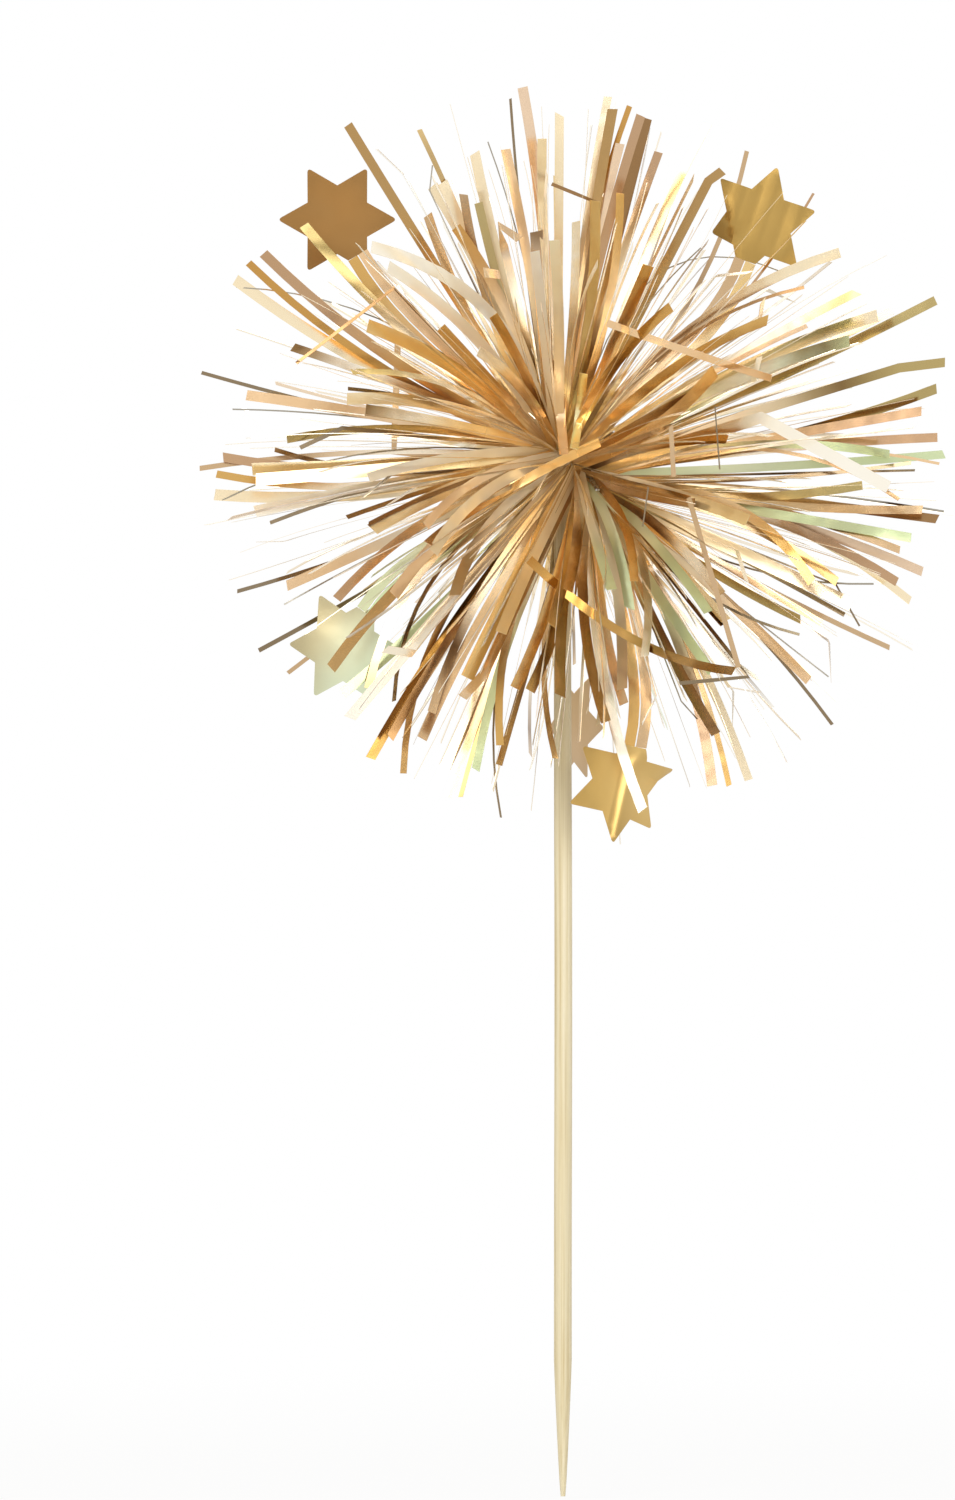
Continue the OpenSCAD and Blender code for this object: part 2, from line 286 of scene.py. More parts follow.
class Sock:
    """A socket that takes part in Python arithmetic, each step adding a Math node."""

    def __init__(self, graph: "Graph", socket: bpy.types.NodeSocket) -> None:
        """Keep the socket with the graph that owns it."""
        self.graph = graph
        self.socket = socket

    def _math(self, operation: str, first: Any, second: Any) -> "Sock":
        """Add one Math node.

        Args:
            operation: The node's operation.
            first: A socket or number.
            second: A socket or number.

        Returns:
            The node's result.
        """
        made = self.graph.node("ShaderNodeMath", {"operation": operation}, {0: first, 1: second})
        return Sock(self.graph, made.outputs[0])

    def __add__(self, other: Any) -> "Sock":
        """Add a socket or number."""
        return self._math("ADD", self, other)

    __radd__ = __add__

    def __sub__(self, other: Any) -> "Sock":
        """Take away a socket or number."""
        return self._math("SUBTRACT", self, other)

    def __rsub__(self, other: Any) -> "Sock":
        """Take this socket away from a number."""
        return self._math("SUBTRACT", other, self)

    def __mul__(self, other: Any) -> "Sock":
        """Multiply by a socket or number."""
        return self._math("MULTIPLY", self, other)

    __rmul__ = __mul__

    def __or__(self, other: Any) -> "Sock":
        """Take the larger of two masks."""
        return self._math("MAXIMUM", self, other)


class Graph:
    """A node tree that is built from code."""

    def __init__(self, tree: bpy.types.NodeTree) -> None:
        """Start from an empty tree."""
        self.tree = tree
        self.tree.nodes.clear()

    def node(self, kind: str, settings: dict[str, Any] | None = None,
             inputs: dict[Any, Any] | None = None) -> bpy.types.Node:
        """Add a node.

        Args:
            kind: The node's type.
            settings: Its properties, set first; "stops" holds a ramp's places and hex colours.
            inputs: Values or sockets, by the input's name, identifier or number.

        Returns:
            The new node.
        """
        made = self.tree.nodes.new(kind)
        for name, value in (settings or {}).items():
            if name == "stops":
                elements = made.color_ramp.elements
                while len(elements) < len(value):
                    elements.new(1.0)
                for element, (place, code) in zip(elements, value):
                    element.position = place
                    element.color = rgba(code)
            else:
                setattr(made, name, value)
        for key, value in (inputs or {}).items():
            socket = made.inputs[key] if isinstance(key, int) else next(
                s for s in made.inputs if key in (s.identifier, s.name))
            if isinstance(value, Sock):
                self.tree.links.new(value.socket, socket)
            else:
                socket.default_value = value
        return made

    def take(self, kind: str, output: str, settings: dict[str, Any] | None = None,
             inputs: dict[Any, Any] | None = None) -> Sock:
        """Add a node and give one of its outputs.

        Args:
            kind: The node's type.
            output: The output's name or identifier.
            settings: As for node.
            inputs: As for node.

        Returns:
            The named output.
        """
        made = self.node(kind, settings, inputs)
        return Sock(self, next(s for s in made.outputs if output in (s.identifier, s.name)))

    def grain(self, scale: Vec, detail: float) -> Sock:
        """Add noise on the piece's own coordinates.

        Args:
            scale: Repeats per metre along X, Y and Z.
            detail: The noise's detail.

        Returns:
            The noise value.
        """
        place = self.take("ShaderNodeTexCoord", "Object")
        mapped = self.take("ShaderNodeMapping", "Vector", None, {"Vector": place, "Scale": scale})
        return self.take("ShaderNodeTexNoise", "Fac", None,
                         {"Vector": mapped, "Scale": 1.0, "Detail": detail})

    def ramp(self, value: Sock, stops: tuple[tuple[float, str], ...]) -> Sock:
        """Turn a value into a colour by a ramp's places and hex colours."""
        return self.take("ShaderNodeValToRGB", "Color", {"stops": stops}, {"Fac": value})

    def tinted(self, colour: Sock, shade: str, mask: Sock) -> Sock:
        """Multiply a colour by a hex shade where a mask is set."""
        return self.take("ShaderNodeMix", "Result_Color", {"data_type": "RGBA", "blend_type": "MULTIPLY"},
                         {"Factor_Float": mask, "A_Color": colour, "B_Color": rgba(shade)})

    def bump(self, height: Sock, strength: float, depth: float) -> Sock:
        """Give the normal of a surface that a value raises, by up to a depth in millimetres."""
        return self.take("ShaderNodeBump", "Normal", None,
                         {"Strength": strength, "Distance": depth * MM, "Height": height})

    def surface(self, inputs: dict[str, Any]) -> None:
        """End the tree in one Principled surface."""
        shader = self.take("ShaderNodeBsdfPrincipled", "BSDF", None, inputs)
        self.node("ShaderNodeOutputMaterial", None, {"Surface": shader})


def new_material(name: str) -> tuple[Material, Graph]:
    """Make an empty material.

    Args:
        name: The finish's name.

    Returns:
        The material and its graph.
    """
    made = bpy.data.materials.new(name)
    made.use_nodes = True
    return made, Graph(made.node_tree)


@dataclass(frozen=True)
class FilmFinish:
    """Metallised film whose tone and metal follow the tint layer, with clouds and a faint crinkle."""

    name: str
    roughness: float
    roughness_swing: float
    crinkle: float
    clouds: Grain
    shade: str
    crinkles: Grain = ((300.0, 300.0, 300.0), 1.0)
    crinkle_depth: float = 0.2

    def material(self) -> Material:
        """Build the finish.

        Returns:
            The material.
        """
        made, graph = new_material(self.name)
        tint = graph.node("ShaderNodeVertexColor", {"layer_name": TINT_LAYER})
        tone, metal = (Sock(graph, tint.outputs[name]) for name in ("Color", "Alpha"))
        cloud = graph.grain(*self.clouds)
        fine = graph.grain(*self.crinkles)
        graph.surface({
            "Base Color": graph.tinted(tone, self.shade, cloud),
            "Roughness": self.roughness + self.roughness_swing * cloud,
            "Metallic": metal,
            "Normal": graph.bump(fine, self.crinkle, self.crinkle_depth)})
        return made


@dataclass(frozen=True)
class BambooFinish:
    """Pale bamboo with long fibres, darker vessel streaks and a dry surface."""

    name: str = "bamboo"
    stops: tuple[tuple[float, str], ...] = ((0.32, "d2c095"), (0.47, "eadfbd"), (0.66, "f6eed6"))
    blotch_shade: str = "f3ead6"
    fibres: Grain = ((4200.0, 4200.0, 45.0), 3.0)
    vessels: Grain = ((1700.0, 1700.0, 14.0), 2.0)
    blotches: Grain = ((160.0, 160.0, 60.0), 2.0)
    fibre_share: float = 0.55
    vessel_share: float = 0.45
    roughness: float = 0.48
    roughness_swing: float = 0.3
    dent: float = 0.5
    dent_depth: float = 0.1

    def material(self) -> Material:
        """Build the finish.

        Returns:
            The material.
        """
        made, graph = new_material(self.name)
        fibre, vessel, blotch = (graph.grain(*g) for g in (self.fibres, self.vessels, self.blotches))
        body = graph.ramp(self.fibre_share * fibre + self.vessel_share * vessel, self.stops)
        graph.surface({
            "Base Color": graph.tinted(body, self.blotch_shade, blotch),
            "Roughness": self.roughness + self.roughness_swing * fibre,
            "Normal": graph.bump(fibre, self.dent, self.dent_depth)})
        return made


@dataclass(frozen=True)
class GrainFinish:
    """A finish whose colour, roughness and dents follow one grain."""

    name: str
    grain: Grain
    stops: tuple[tuple[float, str], ...]
    roughness: float
    roughness_swing: float
    metal: float = 0.0
    dent: float = 0.0
    dent_depth: float = 0.1

    def material(self) -> Material:
        """Build the finish.

        Returns:
            The material.
        """
        made, graph = new_material(self.name)
        grain = graph.grain(*self.grain)
        inputs = {"Base Color": graph.ramp(grain, self.stops),
                  "Roughness": self.roughness + self.roughness_swing * grain,
                  "Metallic": self.metal}
        if self.dent > 0.0:
            inputs["Normal"] = graph.bump(grain, self.dent, self.dent_depth)
        graph.surface(inputs)
        return made


TINSEL_FILM = FilmFinish("tinsel_film", roughness=0.14, roughness_swing=0.08, crinkle=0.4,
                         clouds=((90.0, 90.0, 90.0), 2.0), shade="f6eddc")
STAR_FILM = FilmFinish("star_film", roughness=0.26, roughness_swing=0.1, crinkle=0.2,
                       clouds=((220.0, 220.0, 220.0), 2.0), shade="f4ecdc")
CLOUDY_GLUE = GrainFinish("hot_glue", grain=((900.0, 900.0, 700.0), 3.0),
                          stops=((0.35, "e4d9ba"), (0.65, "f3ecd9")),
                          roughness=0.25, roughness_swing=0.3, dent=0.3)
DRAWN_WIRE = GrainFinish("core_wire", grain=((3000.0, 3000.0, 6000.0), 2.0),
                         stops=((0.3, "9d9da2"), (0.6, "d9d9dc")),
                         roughness=0.18, roughness_swing=0.25, metal=1.0)


def dress(piece: Obj, material: Material) -> None:
    """Give a piece its finish, in place of any it has."""
    piece.data.materials.clear()
    piece.data.materials.append(material)


@dataclass
class Ribbon:
    """One strip of film: where it runs, how wide it is, how it faces and what tones it shows.

    The line is in millimetres from the burst's centre, one row for each ring of the strip.
    """

    line: Array
    width: float
    root_tone: Array
    tip_tone: Array
    face: Array
    roll: float = 0.0
    twist: float = 0.0
    slant: float = 0.0
    # Painted highlight and painted dark reflection beside it: the highlight's place along the strip and its
    # strength, and the dark band's strength, its sign giving its side.
    glint_at: float = 0.5
    glint: float = 0.0
    dusk: float = 0.0
    pinch: float = 1.0
    aside: float = 0.0
    root_metal: float = 0.5
    end_metal: float = 1.0


@dataclass
class StripStock:
    """Film strip of unit size that is cut once and copied for every strand and stem."""

    segments: int = 12
    film: float = 0.04
    spread_len: float = 14.0
    weak_face: float = 0.15
    tone_from: float = 0.2
    tone_over: float = 0.6
    # Painted light: towards the core, out to core_len, the strips are painted paler and brighter to stand
    # in for the light that the crowded core shades out.
    painted_core_gain: float = 3.4
    end_gain: float = 1.0
    painted_core_pale: float = 0.26
    end_pale: float = 0.06
    core_len: float = 22.0
    twist_share: float = 0.5
    # Spread of the painted highlight and of the painted dark reflection, and how far apart they lie.
    glint_len: float = 0.16
    dusk_len: float = 0.1
    dusk_gap: float = 0.25
    brightest: float = 1.0

    def __post_init__(self) -> None:
        """Cut the strip: a unit block divided along its length, its root at the origin."""
        deselect()
        bpy.ops.mesh.primitive_cube_add(size=1.0, location=(0.0, 0.0, 0.0))
        self.master = bpy.context.object
        self.master.name = "strip_stock"
        bpy.ops.object.mode_set(mode="EDIT")
        bpy.ops.mesh.select_all(action="SELECT")
        bpy.ops.transform.translate(value=(0.5, 0.0, 0.0))
        pick(self.master, "EDGE", lambda a, b: abs(a.x - b.x) > 0.5)
        bpy.ops.mesh.subdivide(number_cuts=self.segments - 1)
        bpy.ops.object.mode_set(mode="OBJECT")
        self.points = coordinates(self.master.data)
        self.ring = np.rint(self.points[:, 0] * self.segments).astype(int)

    def shaped(self, ribbon: Ribbon, run: Array) -> Array:
        """Carry the strip's points to a ribbon's line.

        Args:
            ribbon: The strip to make.
            run: How far along the line each ring is.

        Returns:
            The points from the burst's centre.
        """
        line, ring = ribbon.line, self.ring
        ahead = unit(np.gradient(line, axis=0))
        normal = ribbon.face - (ahead @ ribbon.face)[:, None] * ahead
        weak = np.linalg.norm(normal, axis=1) < self.weak_face
        normal[weak] = (UP - (ahead @ UP)[:, None] * ahead)[weak]
        normal = unit(normal)
        side = np.cross(normal, ahead)
        turned = smooth(run / run[-1] / self.twist_share)
        angle = np.radians(ribbon.roll + ribbon.twist * turned)[:, None]
        side, normal = (side * np.cos(angle) + normal * np.sin(angle),
                        normal * np.cos(angle) - side * np.sin(angle))
        width = ribbon.width * (ribbon.pinch + (1.0 - ribbon.pinch) * smooth(run / self.spread_len))
        across, over = self.points[:, 1:2], self.points[:, 2:3]
        offset = across * width[ring][:, None] + ribbon.aside * (width / ribbon.width)[ring][:, None]
        points = line[ring] + side[ring] * offset + normal[ring] * over * self.film
        last = ring == self.segments
        points[last] += ahead[ring][last] * across[last] * ribbon.slant * ribbon.width
        return points

    def toned(self, ribbon: Ribbon, share: Array) -> tuple[Array, Array]:
        """Work out what each ring of a strip shows: its tones, a painted highlight with a painted dark
        reflection beside it, and painted light that makes it paler and brighter towards the core against
        the shade there.

        Args:
            ribbon: The strip to make.
            share: How far along the strip each ring is, from 0 to 1.

        Returns:
            Linear colours, one row for each ring, and how mirror-like each ring is.
        """
        tone = blend(ribbon.root_tone, ribbon.tip_tone,
                     smooth((share - self.tone_from) / self.tone_over)[:, None])
        # Painted highlight: the tone goes towards white about the glint's place.
        glint = ribbon.glint * np.exp(-((share - ribbon.glint_at) / self.glint_len) ** 2)[:, None]
        tone = blend(tone, WHITE.linear, glint)
        # Painted dark reflection beside the highlight, towards cocoa.
        dusk_at = ribbon.glint_at + math.copysign(self.dusk_gap, ribbon.dusk)
        dusk = abs(ribbon.dusk) * np.exp(-((share - dusk_at) / self.dusk_len) ** 2)[:, None]
        out = smooth(np.linalg.norm(ribbon.line, axis=1) / self.core_len)
        # Painted light towards the core: paler here, then brighter by the painted gain below.
        tone = blend(tone, LEMON.linear, blend(self.painted_core_pale, self.end_pale, out)[:, None])
        tone = blend(tone, COCOA.linear, dusk)
        gain = blend(self.painted_core_gain * tone.max(axis=1), self.end_gain, out)
        metal = blend(ribbon.root_metal, ribbon.end_metal, out)
        return tone * np.minimum(gain, self.brightest / tone.max(axis=1))[:, None], metal

    def lay(self, ribbon: Ribbon) -> Obj:
        """Copy the strip and lay the copy along a ribbon's line.

        Args:
            ribbon: The strip to make.

        Returns:
            The copy, with its own mesh and tint layer.
        """
        run = distances(ribbon.line)
        tones, metal = self.toned(ribbon, run / run[-1])
        copy = copied(self.master)
        write_coordinates(copy.data, (self.shaped(ribbon, run) + BURST_CENTRE) * MM)
        write_tints(copy.data, tones[self.ring], metal[self.ring])
        return copy

    def clear(self) -> None:
        """Put the master strip away."""
        bpy.data.objects.remove(self.master, do_unlink=True)


@dataclass(frozen=True)
class Feature:
    """A strand that stands out at the front: its end, a point on its way, and its look.

    End and way point are X and Z from the burst's centre; depth is the end's Y. A kinked strand
    is sharply bent at its way point. A loose one starts among the others at its own X, Y and Z.
    The glint is the strength of a painted highlight along it; None leaves it to chance.
    """

    tip: tuple[float, float]
    via: tuple[float, float]
    depth: float
    width: float
    root: Tint
    end: Tint
    kinked: bool = False
    loose: Vec | None = None
    glint: float | None = None


# The tones of these strands are partly the film's own and partly painted light: the white and cream ones
# are mostly painted highlights.
FEATURES = tuple(Feature(row[:2], row[2:4], *row[4:]) for row in (
    (-4.3, 40.1, -2.9, 31.4, -3, 1.1, TAN, BLUSH),
    (-5.6, 38.9, -4.6, 27.3, -7, 0.28, UMBER, UMBER),
    (-22.9, 36.1, -18.6, 29.1, 0, 1.0, GOLD, BRONZE),
    (-15.3, 35.6, -13.1, 30.9, -6, 0.55, LIGHT, LIGHT),
    (-9.4, 33.1, -8.4, 28.3, -7, 1.1, CREAM, CREAM),
    (-6.1, 33.5, -5.2, 29.4, -7, 1.1, CREAM, PEACH),
    (-8.0, 34.3, -5.2, 25.7, -4, 0.14, UMBER, PEWTER),
    (-13.9, 31.8, -14.2, 29.1, -5, 0.14, UMBER, PEWTER, True),
    (-13.9, 29.6, -12.0, 26.5, -5, 1.2, WHITE, CREAM),
    (-12.8, 30.0, -10.7, 25.2, -6, 1.1, WHITE, CREAM),
    (-27.6, 25.4, -23.0, 20.2, -10, 1.05, GOLD, OLIVE),
    (-31.9, 22.4, -28.5, 19.2, -3, 1.1, GOLD, ROSE),
    (-33.5, 21.4, -29.3, 17.6, -4, 0.8, GOLD, DEEP),
    (-34.9, 19.6, -30.3, 16.3, -1, 1.2, LIGHT, CREAM),
    (-34.8, 18.8, -28.0, 18.0, -1, 0.14, UMBER, PEWTER),
    (-20.4, 23.1, -11.0, 18.9, -21, 1.3, WHITE, WHITE),
    (-2.0, 24.4, -3.0, 24.4, -10, 1.1, TAN, TAN, True),
    (-4.6, 23.9, -6.8, 25.4, -10, 0.9, BRONZE, TAN, True),
    (-10.6, 28.7, -10.1, 25.7, -8, 0.9, LIGHT, TAN),
    (-11.4, 25.2, -9.7, 22.8, -12, 1.1, CREAM, DEEP),
    (-9.0, 27.8, -8.4, 25.2, -10, 0.9, CREAM, OLIVE),
    (-14.4, 26.5, -13.6, 24.1, -9, 1.0, LIGHT, TAN),
    (4.8, 39.1, 3.7, 33.1, -3, 0.9, CREAM, CREAM),
    (5.3, 37.8, 4.5, 33.3, -6, 1.1, OLIVE, BRONZE),
    (7.1, 38.1, 5.7, 34.1, -4, 0.6, GOLD, DEEP),
    (8.9, 36.8, 7.7, 32.0, -5, 1.2, LIGHT, BROWN),
    (8.3, 37.1, 6.7, 32.0, -6, 1.0, TAN, ROSE),
    (10.2, 33.2, 8.5, 28.5, -8, 0.95, BRONZE, ROSE),
    (6.1, 34.1, 5.0, 29.8, -5, 1.0, TAN, BLUSH),
    (6.1, 28.8, 6.0, 25.8, -12, 0.9, GOLD, GOLD),
    (17.0, 31.2, 15.5, 30.1, -9, 1.0, OLIVE, BRONZE, True),
    (19.6, 33.3, 16.7, 23.9, 12, 0.6, TAN, TAN),
    (9.1, 21.1, 7.7, 17.8, -21, 1.2, LIGHT, GOLD),
    (11.5, 16.7, 8.8, 14.3, -25, 1.05, GOLD, GOLD),
    (29.5, 22.5, 21.1, 19.1, -6, 1.1, PEACH, CREAM),
    (25.7, 18.8, 21.1, 17.5, -8, 0.35, BROWN, BROWN),
    (26.7, 28.8, 22.0, 21.5, 9, 0.28, TAN, ROSE),
    (14.7, 23.0, 12.3, 20.7, -9, 0.14, UMBER, PEWTER),
    (23.4, 20.4, 18.5, 21.9, 14, 0.14, UMBER, PEWTER),
    (-1.2, 29.8, 3.7, 27.8, -12, 0.38, BROWN, BROWN, True),
    (-38.5, 9.7, -29.3, 7.2, -2, 0.4, BROWN, UMBER),
    (-33.7, 7.3, -26.7, 6.3, -5, 1.1, WHITE, PEACH),
    (-35.2, 5.8, -24.1, 5.2, -2, 0.16, UMBER, PEWTER),
    (-28.4, 10.7, -18.0, 18.7, -14, 0.36, BROWN, BROWN, True),
    (-22.5, 9.8, -17.3, 9.6, -13, 0.6, GOLD, OLIVE),
    (-22.9, 8.0, -18.8, 7.5, -13, 0.4, BROWN, UMBER),
    (-23.0, 6.9, -18.0, 6.9, -14, 1.3, GOLD, CREAM),
    (-20.8, 14.7, -17.8, 13.5, -16, 1.4, GOLD, LIGHT),
    (-29.4, 2.6, -25.1, 3.3, -9, 0.9, GOLD, OLIVE),
    (-28.0, 1.7, -23.5, 3.8, -9, 0.5, BRONZE, UMBER, True),
    (-30.7, 1.5, -28.0, 0.7, -6, 0.5, GOLD, BROWN),
    (-38.7, -0.5, -31.9, 0.4, -1, 0.55, PEACH, TAN),
    (-36.2, 0.7, -33.2, 0.2, -2, 1.0, LIGHT, ROSE),
    (-36.9, -1.1, -31.9, -1.9, -2, 0.8, BROWN, GOLD),
    (-33.1, -0.6, -26.7, -0.4, -8, 1.4, BROWN, CREAM),
    (-32.7, -1.7, -26.1, -1.2, -9, 1.3, LIGHT, CREAM),
    (-37.1, -3.3, -29.3, -3.6, -2, 1.2, CREAM, CREAM),
    (-32.8, -5.1, -26.7, -3.8, -5, 1.3, CREAM, WHITE),
    (-31.2, -6.3, -28.0, -5.1, -5, 0.4, BRONZE, UMBER),
    (-36.3, -3.9, -32.4, -2.1, -2, 0.16, UMBER, PEWTER),
    (-20.7, -6.4, -17.5, -4.8, -18, 0.4, BROWN, BROWN),
    (-20.3, -7.0, -15.4, -4.3, -16, 1.4, GOLD, CREAM),
    (-23.0, -5.7, -17.5, -3.8, -14, 0.5, DEEP, BROWN),
    (-17.6, 12.7, -18.0, 1.2, 12, 0.7, TAN, TAN, True),
    (39.7, 17.4, 30.5, 12.8, 0, 1.0, BRONZE, OLIVE),
    (35.1, 16.3, 30.0, 13.7, -4, 0.8, GREEN, TAN),
    (33.5, 15.8, 26.5, 13.4, -7, 1.3, OLIVE, CREAM),
    (30.5, 13.1, 25.4, 11.6, -10, 1.2, OLIVE, GREEN),
    (26.0, 14.7, 21.1, 12.4, -6, 0.5, PEACH, BLUSH),
    (21.8, 15.3, 15.8, 12.6, -19, 1.2, GOLD, GOLD),
    (22.2, 9.1, 12.9, 12.1, -26, 0.78, PEACH, PEACH, False, (4.7, -21.0, 15.0), 0.0),
    (-14.4, -8.5, -4.4, -1.9, -24, 1.0, GOLD, PEACH, False, (3.9, -13.0, 2.3), 0.0),
    (-13.8, -9.4, -7.6, -2.6, -24, 1.2, WHITE, CREAM),
    (-14.6, -6.6, -8.0, -1.2, -26, 0.9, WHITE, PEACH),
    (-0.9, 23.8, -0.4, 12.5, -27, 1.1, CREAM, CREAM),
    (-3.0, 22.6, -1.9, 13.0, -28, 1.0, CREAM, WHITE),
    (1.4, 25.8, 0.9, 13.5, -26, 0.9, ROSE, WHITE),
    (-18.6, 21.0, -9.2, 13.3, -24, 1.2, CREAM, WHITE),
    (3.4, 28.0, 2.6, 14.0, -23, 1.1, OLIVE, STRAW),
    (-0.6, 11.0, -0.3, 6.0, -12, 1.0, ROSE, TAN, False, (0.1, -11.0, 1.0), 0.0),
    (2.2, 9.6, 1.7, 5.0, -12, 0.9, SAGE, STRAW, False, (1.2, -11.0, 1.6), 0.0),
    (40.7, 10.8, 35.8, 10.2, 0, 1.0, PEACH, OLIVE, True),
    (39.8, 8.0, 33.0, 5.6, -2, 1.1, DEEP, OLIVE),
    (38.2, 5.6, 31.9, 4.5, -3, 1.0, GOLD, ROSE),
    (39.9, 2.8, 32.1, 2.4, -1, 1.0, BRONZE, ROSE),
    (40.6, 1.0, 33.2, 0.4, -1, 0.9, GREEN, GREEN),
    (34.8, 1.0, 28.4, 1.9, -7, 0.9, GOLD, GREEN),
    (40.1, 0.0, 35.9, 0.8, -1, 0.3, PEACH, PEACH),
    (37.1, 0.1, 26.5, -1.2, -6, 0.4, BROWN, UMBER),
    (37.5, -0.7, 33.2, -0.8, -4, 0.25, BROWN, UMBER),
    (34.7, -2.5, 21.1, 4.9, -17, 1.3, LIGHT, WHITE, True, None, 0.0),
    (35.8, -3.8, 30.5, -0.8, -8, 0.4, PEACH, TAN),
    (31.9, -2.3, 26.5, -3.1, -11, 0.95, LIGHT, OLIVE),
    (39.9, -5.9, 31.9, -4.9, -2, 1.0, OLIVE, BROWN),
    (38.3, -4.9, 33.2, -4.9, -3, 0.9, OLIVE, TAN),
    (40.6, -5.1, 31.9, -3.8, -1, 0.25, TAN, PEWTER),
    (37.1, -7.9, 29.2, -6.5, -5, 1.0, OLIVE, GREEN),
    (35.9, -9.2, 31.9, -7.7, -4, 0.8, GOLD, TAN),
    (19.7, -6.0, 9.1, -2.5, -31, 1.25, WHITE, LIGHT),
    (16.2, 9.9, 10.4, 4.3, -31, 1.3, GOLD, GOLD),
    (8.5, -6.7, 9.1, -2.5, -38, 0.15, UMBER, UMBER, True),
    (16.7, -0.6, 16.2, 6.1, -34, 0.15, UMBER, UMBER, True),
    (11.8, -1.4, 11.5, 4.0, -36, 0.5, TAN, TAN, True),
    (-34.7, -13.6, -26.7, -11.2, -4, 0.42, BROWN, UMBER),
    (-29.4, -13.0, -25.1, -11.1, -8, 1.2, WHITE, PEACH),
    (-29.7, -15.0, -24.1, -11.9, -5, 0.16, UMBER, PEWTER),
    (-24.1, -14.4, -20.9, -11.1, -12, 1.0, BROWN, ROSE),
    (-32.4, -19.9, -26.7, -16.8, 9, 0.5, BROWN, UMBER),
    (-29.3, -22.3, -25.1, -19.1, 10, 0.45, TAN, TAN),
    (-24.7, -21.8, -20.4, -16.3, -5, 1.2, BRONZE, BRONZE),
    (-20.7, -23.9, -18.8, -17.8, -6, 0.9, BRONZE, BRONZE),
    (-23.5, -24.5, -19.9, -21.5, -6, 1.1, GREEN, GREEN),
    (-22.7, -27.1, -17.5, -21.0, -9, 1.25, BROWN, WHITE),
    (-20.5, -31.4, -15.4, -22.8, -7, 1.1, BRONZE, GOLD),
    (-18.4, -29.2, -15.2, -23.6, -8, 0.9, BRONZE, BROWN),
    (-17.0, -33.0, -16.2, -26.2, -4, 0.7, BROWN, BRONZE),
    (-15.0, -29.3, -11.5, -21.8, -10, 1.1, BRONZE, TAN),
    (-14.0, -26.5, -12.0, -20.7, -13, 0.9, BRONZE, TAN),
    (-14.0, -35.4, -11.4, -29.9, -5, 1.2, PEACH, CREAM),
    (-12.2, -35.5, -9.7, -28.6, -6, 0.9, TAN, TAN),
    (-10.9, -35.5, -9.8, -31.4, -6, 0.5, BROWN, BRONZE),
    (-9.3, -32.6, -8.0, -26.5, -7, 0.9, CREAM, GREEN),
    (-6.6, -37.7, -7.3, -32.5, -3, 0.22, UMBER, UMBER),
    (-6.7, -30.0, -6.8, -25.2, -11, 0.9, BRONZE, GOLD),
    (-6.8, -32.1, -5.2, -26.5, -9, 0.7, BROWN, BRONZE),
    (-10.7, -24.9, -8.4, -22.4, -16, 1.0, BRONZE, TAN, True),
    (-10.2, -22.8, -7.3, -16.8, -23, 1.4, GOLD, LIGHT),
    (-5.1, -23.9, -2.3, -17.3, -24, 1.1, GOLD, LIGHT),
    (-3.5, -24.2, -1.3, -19.1, -23, 1.1, BRONZE, LIGHT),
    (-0.8, -31.4, -1.8, -25.9, -11, 0.6, BRONZE, BRONZE),
    (-0.3, -24.7, -0.3, -21.2, -27, 1.15, GOLD, BRONZE),
    (-18.0, -25.3, -17.5, -21.2, -6, 0.45, BROWN, UMBER),
    (8.5, -36.9, 5.4, -27.5, -17, 1.1, GOLD, WHITE),
    (18.2, -22.1, 5.6, -17.6, -27, 0.95, DEEP, BRONZE, False, (-3.6, -19.0, -10.2), 0.0),
    (18.7, -21.7, 13.4, -3.6, -24, 0.55, BRONZE, TAN, True, None, 0.0),
    (16.3, -28.8, 12.8, -22.8, -13, 1.1, PEACH, BROWN),
    (15.9, -34.3, 14.8, -27.5, -5, 1.1, GREEN, ROSE),
    (17.7, -34.3, 16.0, -27.5, -5, 0.6, DEEP, GOLD),
    (19.8, -33.7, 17.9, -28.6, -4, 0.9, CREAM, CREAM),
    (28.7, -27.8, 23.3, -21.0, -3, 0.36, BROWN, UMBER),
    (26.2, -23.1, 22.8, -19.7, -7, 1.1, WHITE, PEACH),
    (22.0, -23.7, 18.5, -21.3, -10, 0.42, BROWN, PEWTER),
    (12.3, -23.4, 19.8, -22.7, -16, 0.4, BROWN, UMBER, True),
    (14.3, -27.2, 12.6, -25.3, -11, 0.14, UMBER, PEWTER, True),
    (34.8, -19.6, 26.5, -15.7, -3, 0.55, PEACH, TAN),
    (25.2, -18.2, 20.3, -16.6, -11, 0.3, BROWN, PEWTER),
    (28.3, -22.7, 23.8, -19.2, -6, 0.15, UMBER, PEWTER),
    (25.3, -16.6, 21.1, -14.5, -13, 0.9, GOLD, OLIVE),
    (27.6, -17.0, 24.6, -15.2, -10, 0.7, ROSE, TAN),
    (30.7, -15.0, 26.5, -13.0, -9, 1.4, CREAM, CREAM),
    (30.0, -16.1, 24.6, -13.1, -8, 0.5, OLIVE, UMBER),
    (31.6, -17.3, 29.1, -12.9, -6, 0.2, UMBER, UMBER, True),
    (33.1, -12.8, 26.5, -12.5, -6, 0.2, UMBER, PEWTER),
    (29.2, -12.6, 25.2, -9.6, -11, 0.95, OLIVE, BRONZE),
    (26.5, -12.6, 24.4, -9.6, -15, 1.0, GOLD, GOLD),
    (35.6, -12.6, 30.5, -9.6, -4, 0.95, TAN, ROSE),
    (37.0, -14.6, 33.2, -11.7, -2, 0.9, LIGHT, CREAM),
    (38.3, -11.5, 33.5, -9.5, -2, 1.0, CREAM, BLUSH),
    (6.3, -24.0, 6.1, -16.2, -17, 1.1, WHITE, TAN),
